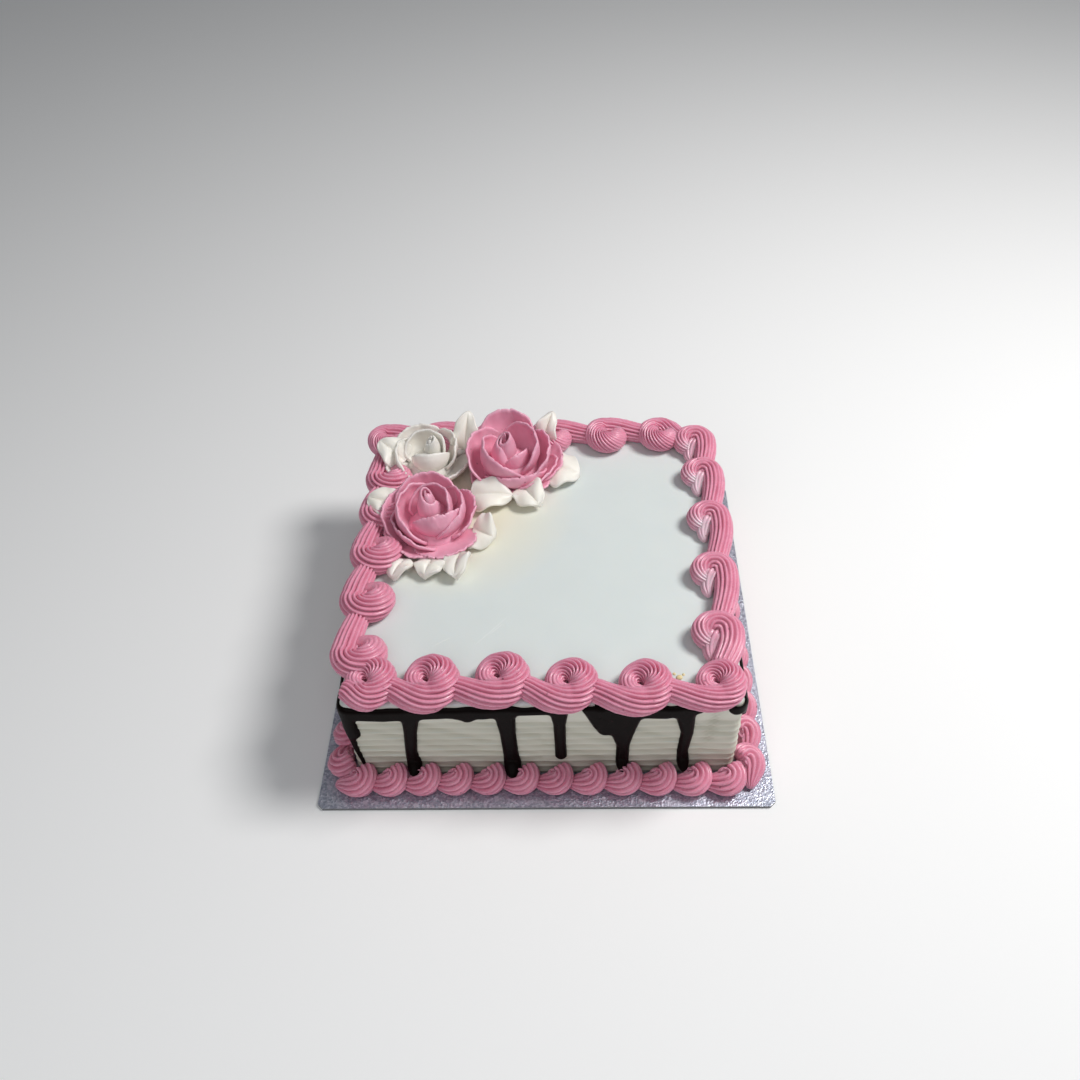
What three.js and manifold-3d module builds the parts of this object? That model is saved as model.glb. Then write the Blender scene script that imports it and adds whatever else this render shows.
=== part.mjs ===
// A square buttercream cake on a thin silver card. It has combed sides, a chocolate drip under a border
// of piped scrolls, a foot border of small piped shells, three piped roses and white leaves around them.
// Millimetres, +Z up. The origin is the middle of the card's underside, and the front faces -Y.

import * as THREE from "three";
import { mergeVertices } from "three/addons/utils/BufferGeometryUtils.js";
import Module from "manifold-3d";

const wasm = await Module();
wasm.setup();

// Driving sizes
const GAP = 0.3;
const CUT_GAP = 0.5;
const WELD = 0.02;
const CARD = { side: 254, thick: 2, corner: 3 };
const CAKE = { side: 213, top: 70, corner: 5, edge: 3 };
const CAKE_HALF = CAKE.side / 2;
const CAKE_FOOT = CARD.thick + GAP;
const COMB = { pitch: 5.6, depth: 1.2, from: 15, smoothTop: 12 };
const TOP_FLOOR = CAKE.top + GAP;
const CARD_FLOOR = CARD.thick + GAP;

// Chocolate: a band round the top edge, and drips given by their place along a side as seen from
// outside, their width, how low the tip hangs and how far the shoulders spread
const BAND = { low: 60.5, proud: 1.5, rounding: 2.5 };
const DRIP = { proud: 1.7, sunk: 2.4, root: 63, shoulder: 1.2 };
const LOWEST_TIP = 15.5;
const DRIPS = {
  front: [
    { at: -100, width: 8, tip: 41, spread: 3 },
    { at: -69.5, width: 7.5, tip: LOWEST_TIP, spread: 7 },
    { at: -40, width: 9, tip: 55.5, spread: 4 },
    { at: -18.5, width: 8.4, tip: LOWEST_TIP, spread: 8 },
    { at: 9.5, width: 5.6, tip: 18.5, spread: 4 },
    { at: 31, width: 9, tip: 42, spread: 5 },
    { at: 43, width: 7.4, tip: LOWEST_TIP, spread: 13 },
    { at: 75.5, width: 6.6, tip: LOWEST_TIP, spread: 8 },
  ],
  right: [
    { at: -101, width: 5.5, tip: 52, spread: 2 },
    { at: -63, width: 7.5, tip: LOWEST_TIP, spread: 8 },
    { at: -21, width: 6.5, tip: 30, spread: 6 },
    { at: 26, width: 8, tip: LOWEST_TIP, spread: 9 },
    { at: 72, width: 7, tip: 22, spread: 7 },
  ],
  back: [
    { at: -84, width: 7.5, tip: 19, spread: 7 },
    { at: -46, width: 6, tip: 36, spread: 5 },
    { at: -8, width: 8, tip: LOWEST_TIP, spread: 9 },
    { at: 33, width: 6.5, tip: 27, spread: 6 },
    { at: 77, width: 8, tip: LOWEST_TIP, spread: 8 },
  ],
  left: [
    { at: -79, width: 7.5, tip: LOWEST_TIP, spread: 8 },
    { at: -38, width: 6.5, tip: 33, spread: 6 },
    { at: 4, width: 8, tip: LOWEST_TIP, spread: 9 },
    { at: 45, width: 6, tip: 40, spread: 5 },
    { at: 84, width: 7.5, tip: 20, spread: 7 },
  ],
};

// The sides in the order that the borders run, clockwise from above. "along" is the way the bag travels.
const SIDES = {
  back: { along: [1, 0], out: [0, 1] },
  right: { along: [0, -1], out: [1, 0] },
  front: { along: [-1, 0], out: [0, -1] },
  left: { along: [0, 1], out: [-1, 0] },
};

// Where the eye of each scroll lies: its place in X or Y along the side, its distance from the middle, and
// the scroll's size. They are piped in this order, each over the tail of the one before, and the last closes
// the ring.
const SCROLL_ROWS = {
  left: [[-74, 99, 1], [-35.5, 99.5, 1], [0.5, 99, 1], [34.5, 99, 0.97], [64.5, 99, 0.95]],
  back: [
    [-102, 99.5, 0.95],
    [-66.5, 100, 1],
    [-30.5, 100, 1],
    [5.5, 100, 1],
    [41.4, 100.5, 1],
    [75.7, 100.5, 0.97],
  ],
  right: [[89.5, 96.8, 1], [59, 99, 0.97], [19.8, 99.5, 0.98], [-23, 98, 1], [-67.8, 95.6, 1.06]],
  front: [
    [92, 97, 0.9],
    [53, 98, 0.98],
    [14.6, 96.5, 0.97],
    [-21.5, 92.5, 1],
    [-58.8, 94.5, 1.03],
    [-91, 94, 0.97],
  ],
};
const LAST_TAIL = 21;
// A scroll's rope starts thin beside the eye, turns once about it and runs on as a tail. The loop is given
// at even steps by its distance from the eye, its half width and its height. Angles are in degrees from
// the way of piping towards the outside.
const SCROLL_LOOPS = {
  left: [[1.4, 2.8, 5.6], [2.8, 3.6, 5.2], [5.2, 5.6, 5.6], [9.6, 8.5, 7.1], [9.8, 8.6, 7], [6.8, 7.9, 6]],
  back: [[2.2, 3.8, 6], [5.4, 5.4, 5.2], [6.6, 6.6, 6], [7.8, 7.4, 6.9], [7.8, 7.7, 6.9], [6.4, 7.5, 5.8]],
  right: [[1.6, 2.8, 4.8], [3.2, 3.4, 4.4], [5.6, 4.6, 4.4], [8.2, 6.7, 6.1], [7, 7.4, 6.9], [5.8, 7.5, 6.2]],
  front: [[2, 3.6, 6], [6.2, 5.6, 5.6], [7.2, 6.6, 6], [7.4, 7.2, 6.9], [8.9, 7.8, 7], [9.6, 7.9, 4.6]],
};
const SCROLL = {
  startAngle: 105,
  turn: 363,
  uneven: 0.3,
  cover: 6,
  coverFrom: 0.6,
  tailRope: 6.3,
  tailLift: 4.8,
  tailBend: [0.42, 0.3],
  tuck: 9,
  loopRings: 6,
  tailRings: 1,
  crests: 5,
  groove: 0.15,
};
// Where the rope hangs over the edge of the cake's top: from how far out, how steeply and how deep
const OVERHANG = { from: 108.6, fall: 1.4, most: 6 };
const ROPE_SECTION = { lowest: -60, nose: 0.45, noseDrop: 0.2 };

// The foot border: on each side a row of shells from just past one corner to beyond the next. A shell is
// a short rope whose stations are given along the row, outwards, upwards, and by the rope's half width.
const SHELLS = {
  first: -102,
  pitch: 18.6,
  count: 12,
  offset: 6.6,
  bend: [
    [-5, -3.2, 8, 5.2],
    [-0.8, 1.8, 6.8, 7.4],
    [12.8, 1.4, 2.8, 2.9],
  ],
  crests: 3,
  groove: 0.15,
};

// Roses, each with its bud and its petals from the bud outwards. A petal has the middle of its span and half
// the span in degrees, its rim's radius and height, and the bend of its side as shares of these two.
const ROSES = {
  rose_front: {
    x: -66,
    y: 22,
    lean: 0.1,
    bud: { height: 27, half: 5.2, off: [-2, 3.5] },
    petals: [
      [62, 105, 10.5, 27.5, 1.7, 0.5],
      [-66, 84, 13, 25, 1.7, 0.5],
      [170, 92, 19, 25.5, 1.35, 0.4],
      [5, 84, 18.5, 22, 1.25, 0.4],
      [212, 66, 24.5, 17.5, 1, 0.25],
      [105, 64, 23.5, 25, 1.05, 0.4],
      [12, 58, 26, 17.5, 0.9, 0.3],
      [160, 60, 29.5, 18, 0.9, 0.3],
      [222, 52, 31.5, 11, 0.8, 0.3],
      [-66, 56, 31.5, 9, 0.75, 0.5],
    ],
  },
  rose_back: {
    x: -21,
    y: 71,
    lean: 0.1,
    bud: { height: 30.5, half: 5.6, off: [-3, 1] },
    petals: [
      [205, 96, 16.5, 28, 1.45, 0.45],
      [28, 86, 17, 29.5, 1.35, 0.45],
      [-80, 72, 21.5, 17.5, 1.2, 0.35],
      [165, 66, 26, 24.5, 1.05, 0.35],
      [95, 52, 25, 31.5, 1, 0.45],
      [8, 66, 25, 22.5, 1.05, 0.35],
      [-28, 52, 29, 15, 0.85, 0.3],
      [6, 46, 33, 12.5, 0.8, 0.35],
      [-70, 46, 30, 8, 0.75, 0.5],
      [-140, 46, 28.5, 9, 0.8, 0.35],
    ],
  },
  rose_white: {
    x: -74,
    y: 77,
    lean: 0.1,
    bud: { height: 22.5, half: 3.8, off: [2, 3] },
    petals: [
      [88, 95, 12, 23.5, 1.5, 0.5],
      [-84, 95, 12.5, 20.5, 1.7, 0.5],
      [182, 62, 19, 20.5, 1.2, 0.4],
      [30, 62, 20, 19.5, 1.15, 0.4],
      [112, 56, 23, 18.5, 1, 0.4],
      [-44, 56, 24, 12, 0.95, 0.3],
      [196, 50, 26, 12.5, 0.85, 0.3],
      [-128, 50, 25.5, 8, 0.8, 0.4],
    ],
  },
};
const PETAL = {
  footRadius: 0.34,
  footHeight: 1,
  thickFoot: 2.8,
  thickRim: 1.2,
  tuck: 2,
  level: 0.35,
  endDrop: 0.45,
  sections: [-1, -0.4, 0.4, 1],
};
// The heart of a rose, in shares of its widest petal and of its bud's height; the bud stands on its last point
const HEART = [
  [0.58, 0],
  [0.5, 0.26],
  [0.32, 0.42],
];
const BUD = { foot: 0.5, swell: 1.4 };
const ROSE_SINK = 1;

// White leaves. Each springs from a foot, points a way in degrees from +X, rises by its lift, leans over by
// its roll, has its edges raised by its cup, and ends the rounder the higher its tip
const LEAVES = [
  { foot: [-45, 46, 4], turn: -2, lift: 3, roll: 20, length: 26, width: 24, cup: 3.2, tip: 1.8 },
  { foot: [-13, 54, 4], turn: -58, lift: 2, roll: 20, length: 20, width: 20, cup: 3, tip: 4 },
  { foot: [2, 70, 3], turn: -14, lift: 3, roll: 6, length: 21, width: 28, cup: 1.6, tip: 3.2 },
  { foot: [-41, 18, 4], turn: -34, lift: 4, roll: 34, length: 14.5, width: 24, cup: 3.4, tip: 4 },
  { foot: [-47, -3, 4], turn: -98, lift: 3, roll: 22, length: 19, width: 17, cup: 3.4, tip: 4 },
  { foot: [-64, -7, 3], turn: -108, lift: 2, roll: 8, length: 13, width: 18, cup: 2, tip: 4 },
  { foot: [-80, -7, 3], turn: -116, lift: 3, roll: 10, length: 15, width: 15, cup: 2.6, tip: 4 },
  { foot: [-90, 33, 9], turn: 168, lift: 14, roll: -18, length: 18, width: 20, cup: 2.6, tip: 2.6 },
  { foot: [-51, 88, 7], turn: 78, lift: 58, roll: 8, length: 25, width: 20, cup: 3, tip: 1.6 },
  { foot: [3, 92, 7], turn: 58, lift: 54, roll: 8, length: 22, width: 19, cup: 3, tip: 1.6 },
  { foot: [-90, 76, 7], turn: 152, lift: 32, roll: -14, length: 21, width: 22, cup: 3.4, tip: 1.8 },
];
const LEAF = { thick: 5.6, edge: 2.4, arch: 0.1, wave: 0.7, heel: 1.5 };

// Named helpers for numbers and solids
const degrees = THREE.MathUtils.degToRad;
const twoDigits = (number) => String(number).padStart(2, "0");
const mix = THREE.MathUtils.lerp;
const ease = (t) => THREE.MathUtils.smoothstep(t, 0, 1);
const wobble = (seed, index) => Math.sin(seed * 12.9898 + index * 78.233);
const bend = (first, middle, last, t) => mix(mix(first, middle, t), mix(middle, last, t), t);
const bendSlope = (first, middle, last, t) => mix(middle - first, last - middle, t);
const midway = (values, spot) => {
  const low = Math.min(Math.floor(spot), values.length - 2);
  return values[low].map((value, i) => mix(value, values[low + 1][i], spot - low));
};

// A closed three.js geometry as a solid, turned right side out
function solidOf(geometry) {
  const bare = geometry.clone();
  bare.deleteAttribute("normal");
  bare.deleteAttribute("uv");
  const merged = mergeVertices(bare, 1e-4);
  const triVerts = new Uint32Array(merged.index.array);
  const vertProperties = merged.attributes.position.array;
  const made = new wasm.Manifold(new wasm.Mesh({ numProp: 3, vertProperties, triVerts }));
  if (made.volume() > 0) return made;
  for (let i = 0; i < triVerts.length; i += 3) {
    [triVerts[i + 1], triVerts[i + 2]] = [triVerts[i + 2], triVerts[i + 1]];
  }
  return new wasm.Manifold(new wasm.Mesh({ numProp: 3, vertProperties, triVerts }));
}

// The one body that a solid is, without sealed hollows or loose scraps
function wholeBody(solid) {
  const bodies = solid.decompose();
  return bodies.reduce((best, body) => (body.volume() > best.volume() ? body : best));
}

// The faces of a solid, with corners closer than a hair welded and the faces that this closes dropped
function geometryOf(solid) {
  const mesh = wholeBody(solid).getMesh();
  const raw = new THREE.BufferGeometry();
  raw.setAttribute("position", new THREE.BufferAttribute(mesh.vertProperties, 3));
  raw.setIndex(new THREE.BufferAttribute(mesh.triVerts, 1));
  const welded = mergeVertices(raw, WELD);
  const faces = new Map();
  for (let i = 0; i < welded.index.count; i += 3) {
    const corners = Array.from(welded.index.array.slice(i, i + 3));
    if (new Set(corners).size < 3) continue;
    const key = [...corners].sort((a, b) => a - b).join();
    if (faces.has(key)) faces.delete(key);
    else faces.set(key, corners);
  }
  welded.setIndex([...faces.values()].flat());
  const flat = welded.toNonIndexed();
  flat.computeVertexNormals();
  return flat;
}

// The skin through a row of rings with equal numbers of points, closed at each end to an apex
function loft(rings, firstApex, lastApex) {
  const count = rings[0].length;
  const corners = [];
  const face = (a, b, c) => corners.push(a, b, c);
  for (let i = 0; i + 1 < rings.length; i++) {
    for (let j = 0; j < count; j++) {
      const next = (j + 1) % count;
      face(rings[i][j], rings[i][next], rings[i + 1][j]);
      face(rings[i][next], rings[i + 1][next], rings[i + 1][j]);
    }
  }
  const last = rings[rings.length - 1];
  for (let j = 0; j < count; j++) {
    const next = (j + 1) % count;
    face(firstApex, rings[0][next], rings[0][j]);
    face(lastApex, last[j], last[next]);
  }
  return new THREE.BufferGeometry().setFromPoints(corners);
}

const middleOf = (ring) =>
  ring.reduce((sum, point) => sum.add(point), new THREE.Vector3()).divideScalar(ring.length);

// A slab under a height, to cut a solid level
function levelCut(solid, height, reach = CARD.side) {
  const slab = new THREE.BoxGeometry(reach, reach, reach).translate(0, 0, height - reach / 2);
  return solid.subtract(solidOf(slab));
}

// A square with round corners, as a ring of points at one height
function squareRing(half, corner, height, steps = 1) {
  const ring = [];
  for (let quarter = 0; quarter < 4; quarter++) {
    const centre = new THREE.Vector2(half - corner, half - corner);
    for (let step = 0; step <= steps; step++) {
      const angle = (Math.PI / 2) * (step / steps);
      const point = new THREE.Vector2(Math.cos(angle), Math.sin(angle)).multiplyScalar(corner);
      point.add(centre).rotateAround(new THREE.Vector2(), (Math.PI / 2) * quarter);
      ring.push(new THREE.Vector3(point.x, point.y, height));
    }
  }
  return ring;
}

function squareLoft(levels) {
  const rings = levels.map(([half, height]) => squareRing(half, CAKE.corner, height));
  const apex = (ring) => new THREE.Vector3(0, 0, ring[0].z);
  return solidOf(loft(rings, apex(rings[0]), apex(rings[rings.length - 1])));
}

// The cake block, its sides drawn level with a comb and its top edge rounded
function combedBlock() {
  const levels = [[CAKE_HALF - COMB.depth, CAKE_FOOT]];
  const combTop = CAKE.top - COMB.smoothTop;
  for (let height = COMB.from; height < combTop; height += COMB.pitch) {
    levels.push([CAKE_HALF - COMB.depth, height]);
    levels.push([CAKE_HALF, height + COMB.pitch / 2]);
  }
  levels.push([CAKE_HALF, CAKE.top - 2 * CAKE.edge]);
  levels.push([CAKE_HALF - CAKE.edge * 0.3, CAKE.top - CAKE.edge * 0.3]);
  levels.push([CAKE_HALF - CAKE.edge, CAKE.top]);
  return squareLoft(levels);
}

function chocolateBand() {
  const outer = CAKE_HALF + BAND.proud;
  return squareLoft([
    [CAKE_HALF - BAND.proud, BAND.low],
    [outer, BAND.low + BAND.proud],
    [outer, CAKE.top - BAND.rounding],
    [outer - BAND.rounding, CAKE.top - GAP],
  ]);
}

// One drip on the front side: wide shoulders, a neck, and a round tip
function drip({ at, width, tip, spread }) {
  const half = width / 2;
  const neck = Math.max(DRIP.root - DRIP.shoulder * spread, tip + half);
  const shape = new THREE.Shape();
  shape.moveTo(at - half - spread, DRIP.root);
  shape.lineTo(at - half, neck);
  shape.lineTo(at - half, tip + half);
  shape.absarc(at, tip + half, half, Math.PI, 2 * Math.PI, false);
  shape.lineTo(at + half, neck);
  shape.lineTo(at + half + spread, DRIP.root);
  const depth = DRIP.proud + DRIP.sunk;
  const flat = new THREE.ExtrudeGeometry(shape, { depth, bevelEnabled: false, curveSegments: 2 });
  return flat.rotateX(Math.PI / 2).translate(0, -(CAKE_HALF - DRIP.sunk), 0);
}

function cakeBody() {
  let cake = combedBlock().add(chocolateBand());
  const facing = { front: 0, right: Math.PI / 2, back: Math.PI, left: -Math.PI / 2 };
  for (const [side, drips] of Object.entries(DRIPS)) {
    for (const one of drips) cake = cake.add(solidOf(drip(one).rotateZ(facing[side])));
  }
  return cake;
}

// The room that the chocolate at the top edge needs under a scroll that hangs over it
function edgeRoom() {
  const outer = CAKE_HALF + BAND.proud + GAP;
  return squareLoft([
    [outer, DRIP.root],
    [outer, CAKE.top - BAND.rounding + GAP / 2],
    [outer - BAND.rounding, CAKE.top + GAP / 2],
  ]);
}

// How low a rope can hang at a point: the floor, and lower beyond the edge of the cake's top
function floorUnder(point, floor) {
  if (floor < CAKE.top - BAND.rounding) return floor;
  const beyond = Math.max(Math.abs(point.x), Math.abs(point.y)) - OVERHANG.from;
  return floor - THREE.MathUtils.clamp(beyond * OVERHANG.fall, 0, OVERHANG.most);
}

// A piped rope: ridged over the top and flat below. Each station has its centre, the direction of its
// outer side, its half widths to the inner and outer side, and its half height.
function pipedRope(stations, { crests, groove, floor, grow = 0 }) {
  const steps = 2 * crests - 2;
  const { lowest, nose, noseDrop } = ROPE_SECTION;
  const ring = ({ centre, side, inner, outer, rise }) =>
    Array.from({ length: steps + 1 }, (_, i) => {
      const angle = degrees(lowest + (180 - 2 * lowest) * (i / steps));
      const size = i % 2 ? 1 - groove : 1;
      const width = Math.cos(angle) > 0 ? outer + grow : inner + grow;
      const point = centre.clone().addScaledVector(side, Math.cos(angle) * width * size);
      point.z = Math.max(point.z + Math.sin(angle) * (rise + grow) * size, floorUnder(point, floor) - grow);
      return point;
    });
  const rings = stations.map(ring);
  const apex = (near, far, station) => {
    const way = near.clone().sub(far).setZ(0).normalize();
    const tip = near.clone().addScaledVector(way, station.outer * nose + grow);
    return tip.setZ(Math.max(near.z - station.rise * noseDrop, floor));
  };
  const [first, second] = stations;
  const [before, last] = stations.slice(-2);
  const skin = loft(rings, apex(first.centre, second.centre, first), apex(last.centre, before.centre, last));
  return solidOf(skin);
}

// The scrolls of the top border, each knowing the eye of the next, whose head covers its tail
function scrollHeads() {
  const heads = Object.entries(SCROLL_ROWS).flatMap(([side, row]) =>
    row.map(([place, off, size]) => {
      const { along, out } = SIDES[side];
      const t = new THREE.Vector2(...along);
      const n = new THREE.Vector2(...out);
      const eye = n.clone().multiplyScalar(off);
      eye.x += Math.abs(t.x) * place;
      eye.y += Math.abs(t.y) * place;
      return { eye, t, n, size, loop: SCROLL_LOOPS[side] };
    }),
  );
  return heads.map((head, i) => {
    const beyond = head.eye.clone().addScaledVector(head.t, LAST_TAIL);
    return { ...head, next: heads[i + 1]?.eye ?? beyond, seed: i };
  });
}

// The stations of one scroll: a snail-like loop round its eye, then a tail that tucks under the next head
function scrollStations({ eye, t, n, size, loop, next, seed }) {
  const points = [];
  const turned = (angle) => t.clone().multiplyScalar(Math.cos(angle)).addScaledVector(n, Math.sin(angle));
  const angleAt = (u) => degrees(SCROLL.startAngle - SCROLL.turn * u);
  for (let i = 0; i <= SCROLL.loopRings; i++) {
    const u = i / SCROLL.loopRings;
    const [away, half, lift] = midway(loop, u * (loop.length - 1)).map((value) => value * size);
    const path = away + SCROLL.uneven * wobble(seed, 1) * u;
    const rope = half + SCROLL.uneven * wobble(seed, 2) * u;
    const covered = GAP + SCROLL.cover * size * ease((u - SCROLL.coverFrom) / (1 - SCROLL.coverFrom));
    const at = eye.clone().addScaledVector(turned(angleAt(u)), path);
    points.push({ at, rope, inner: Math.max(Math.min(rope, path - covered), GAP), lift });
  }
  const { at: exit, rope: exitRope, lift: exitLift } = points[points.length - 1];
  const way = next.clone().sub(exit).normalize();
  const end = next.clone().addScaledVector(way, -SCROLL.tuck);
  const reach = exit.distanceTo(end);
  const heading = turned(angleAt(1) - Math.PI / 2);
  const afterExit = exit.clone().addScaledVector(heading, SCROLL.tailBend[0] * reach);
  const beforeEnd = end.clone().addScaledVector(way, -SCROLL.tailBend[1] * reach);
  const tail = new THREE.CubicBezierCurve(exit, afterExit, beforeEnd, end);
  for (let i = 1; i <= SCROLL.tailRings; i++) {
    const u = i / SCROLL.tailRings;
    const rope = mix(exitRope, SCROLL.tailRope, ease(u));
    points.push({ at: tail.getPoint(u), rope, inner: rope, lift: mix(exitLift, SCROLL.tailLift, ease(u)) });
  }
  return points.map(({ at, rope, inner, lift }, i) => {
    const before = points[Math.max(i - 1, 0)].at;
    const after = points[Math.min(i + 1, points.length - 1)].at;
    const run = after.clone().sub(before).normalize();
    const centre = new THREE.Vector3(at.x, at.y, TOP_FLOOR + lift);
    return { centre, side: new THREE.Vector3(-run.y, run.x, 0), inner, outer: rope, rise: rope };
  });
}

function scrollSolid(head, grow = 0) {
  const { crests, groove } = SCROLL;
  return pipedRope(scrollStations(head), { crests, groove, floor: TOP_FLOOR, grow });
}

// The stations of one small shell of the foot border
function shellStations(side, place) {
  const { along, out } = SIDES[side];
  const t = new THREE.Vector3(...along, 0);
  const n = new THREE.Vector3(...out, 0);
  const foot = n.clone().multiplyScalar(CAKE_HALF + SHELLS.offset).addScaledVector(t, place);
  return SHELLS.bend.map(([a, b, lift, rope], i) => {
    const [aBefore, bBefore] = SHELLS.bend[Math.max(i - 1, 0)];
    const [aAfter, bAfter] = SHELLS.bend[Math.min(i + 1, SHELLS.bend.length - 1)];
    const centre = foot.clone().addScaledVector(t, a).addScaledVector(n, b).setZ(CARD_FLOOR + lift);
    const run = t.clone().multiplyScalar(aAfter - aBefore).addScaledVector(n, bAfter - bBefore).normalize();
    return { centre, side: new THREE.Vector3(-run.y, run.x, 0), inner: rope, outer: rope, rise: rope };
  });
}

// One side of the foot border, its shells joined, cut back level with the wall
function shellBorder(side) {
  const style = { crests: SHELLS.crests, groove: SHELLS.groove, floor: CARD_FLOOR };
  let border = null;
  for (let i = 0; i < SHELLS.count; i++) {
    const shell = pipedRope(shellStations(side, SHELLS.first + i * SHELLS.pitch), style);
    border = border ? border.add(shell) : shell;
  }
  const wall = 2 * (CAKE_HALF + GAP);
  return border.subtract(solidOf(new THREE.BoxGeometry(wall, wall, 2 * CAKE.top)));
}

// One petal: a curved plate that bellies out from the middle of a rose as it rises, thin at the rim
function petalRings([middle, span, rimRadius, rimHeight, bendOut, bendUp], grow) {
  const footRadius = rimRadius * PETAL.footRadius;
  const outwards = [footRadius, rimRadius * bendOut, rimRadius];
  const upwards = [PETAL.footHeight, rimHeight * bendUp, rimHeight];
  const section = (u) => {
    const angle = degrees(middle + span * u) + (grow / rimRadius) * Math.trunc(u);
    const fallen = Math.max(Math.abs(u) - PETAL.level, 0) / (1 - PETAL.level);
    const rim = 1 - PETAL.endDrop * fallen + grow / rimHeight;
    const point = (v, face) => {
      const share = v * rim;
      const slope = new THREE.Vector2(bendSlope(...outwards, share), bendSlope(...upwards, share)).normalize();
      const thick = face * (mix(PETAL.thickFoot, PETAL.thickRim, v) / 2 + grow);
      const out = bend(...outwards, share) + PETAL.tuck * u + thick * slope.y;
      const up = bend(...upwards, share) - thick * slope.x;
      return new THREE.Vector3(out * Math.cos(angle), out * Math.sin(angle), up);
    };
    const edge = grow > 0 ? [point(1, 1), point(1, -1)] : [point(1, 0)];
    return [point(0, 1), point(0.5, 1), ...edge, point(0.5, -1), point(0, -1)];
  };
  return PETAL.sections.map(section);
}

// The heart of a rose: a mound of cream with the rolled bud standing on it, a little off its middle
function roseHeart({ bud, petals }, grow) {
  const widest = Math.max(...petals.map(([, , rimRadius]) => rimRadius));
  const outline = HEART.map(([out, up]) => [out * widest, up * bud.height - (up > 0 ? 0 : ROSE_SINK)]);
  outline.push([bud.half * BUD.swell, BUD.foot * bud.height]);
  outline.push([bud.half, bud.height + grow]);
  const profile = outline.map(([out, up]) => new THREE.Vector2(out + grow, up));
  const middle = (up) => new THREE.Vector2(0, up);
  const closed = [middle(profile[0].y), ...profile, middle(profile[profile.length - 1].y)];
  const heart = new THREE.LatheGeometry(closed, 6).rotateX(Math.PI / 2);
  const spots = heart.attributes.position;
  for (let i = 0; i < spots.count; i++) {
    const moved = ease(spots.getZ(i) / bud.height / BUD.foot);
    spots.setX(i, spots.getX(i) + moved * bud.off[0]);
    spots.setY(i, spots.getY(i) + moved * bud.off[1]);
  }
  return heart;
}

// A rose on the cake. Its rim is low at the front and high at the back, as the flower faces forward.
function roseSolid(rose, grow = 0) {
  const widest = Math.max(...rose.petals.map(([, , rimRadius]) => rimRadius));
  const settle = (point) => {
    const height = point.z * (1 + (rose.lean * point.y) / widest);
    return new THREE.Vector3(point.x + rose.x, point.y + rose.y, TOP_FLOOR + height);
  };
  const heart = roseHeart(rose, grow);
  const spots = heart.attributes.position;
  for (let i = 0; i < spots.count; i++) {
    spots.setXYZ(i, ...settle(new THREE.Vector3().fromBufferAttribute(spots, i)));
  }
  let made = solidOf(heart);
  for (const petal of rose.petals) {
    const rings = petalRings(petal, grow).map((ring) => ring.map(settle));
    made = made.add(solidOf(loft(rings, middleOf(rings[0]), middleOf(rings[rings.length - 1]))));
  }
  return levelCut(made, TOP_FLOOR - grow);
}

// A leaf: a thick plate with hollow middle and raised edges, broad from its foot to near its tip.
// Its two faces share one grid, and the under face lies a thickness below the upper one.
function leafSolid({ foot, turn, lift, roll, length, width, cup, tip }, grow = 0) {
  const across = [-1, -0.5, 0, 0.5, 1];
  const steps = [0.03, 0.5, 0.86];
  const section = (u) => {
    const half = (width / 2) * Math.sqrt(1 - u ** tip) * (0.82 + 0.18 * Math.sin(Math.PI * u)) + grow;
    const arch = length * LEAF.arch * Math.sin(Math.PI * u);
    const point = (s, face) => {
      const thick = mix(LEAF.thick, LEAF.edge, Math.abs(s)) / 2 + grow;
      const hollow = cup * Math.abs(s) ** 1.7 * Math.sin(Math.PI * (0.1 + 0.9 * u)) ** 0.5;
      const wave = LEAF.wave * Math.abs(s) * Math.sin(6 * u + 2.4 * s);
      return new THREE.Vector3(u * length, s * half, arch + hollow + wave + face * thick);
    };
    return [...across.map((s) => point(s, -1)), ...across.map((s) => point(s, 1)).reverse()];
  };
  const rings = steps.map(section);
  const heel = middleOf(rings[0]).add(new THREE.Vector3(-LEAF.heel - grow, 0, 0));
  const end = new THREE.Vector3(length + grow, 0, 0);
  const leaf = loft(rings, heel, end).rotateX(degrees(roll)).rotateY(degrees(-lift)).rotateZ(degrees(turn));
  return solidOf(leaf.translate(foot[0], foot[1], TOP_FLOOR + foot[2]));
}

function card() {
  const flat = squareRing(CARD.side / 2, CARD.corner, 0);
  const shape = new THREE.Shape(flat.map((point) => new THREE.Vector2(point.x, point.y)));
  return solidOf(new THREE.ExtrudeGeometry(shape, { depth: CARD.thick, bevelEnabled: false }));
}

// Materials
const MATERIALS = {
  silver_card: new THREE.MeshStandardMaterial({ color: "#a9b1c6", roughness: 0.45, metalness: 0.6 }),
  white_buttercream: new THREE.MeshStandardMaterial({ color: "#e9ebe4", roughness: 0.5, metalness: 0 }),
  pink_buttercream: new THREE.MeshStandardMaterial({ color: "#dd7a9f", roughness: 0.42, metalness: 0 }),
};

const wholeCake = new THREE.Group();

function place(name, solid, material) {
  const mesh = new THREE.Mesh(geometryOf(solid), MATERIALS[material]);
  mesh.name = name;
  wholeCake.add(mesh);
}

const cutBack = (solid, covers) => covers.reduce((left, cover) => left.subtract(cover), solid);

// Assembly. What lies lower is cut back from what covers it.
place("card", card(), "silver_card");
place("cake", cakeBody(), "white_buttercream");
for (const side of Object.keys(SIDES)) {
  place(`foot_shells_${side}`, shellBorder(side), "pink_buttercream");
}

const heads = scrollHeads();
const roomFor = (make, one) => make(one, CUT_GAP).add(make(one));
const roseRooms = Object.values(ROSES).map((rose) => roomFor(roseSolid, rose));
const scrollRooms = heads.map((head) => roomFor(scrollSolid, head));
const leafRooms = LEAVES.map((leaf) => roomFor(leafSolid, leaf));

Object.keys(ROSES).forEach((name, i) => {
  const material = name === "rose_white" ? "white_buttercream" : "pink_buttercream";
  place(name, cutBack(roseSolid(ROSES[name]), roseRooms.slice(0, i)), material);
});

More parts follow.
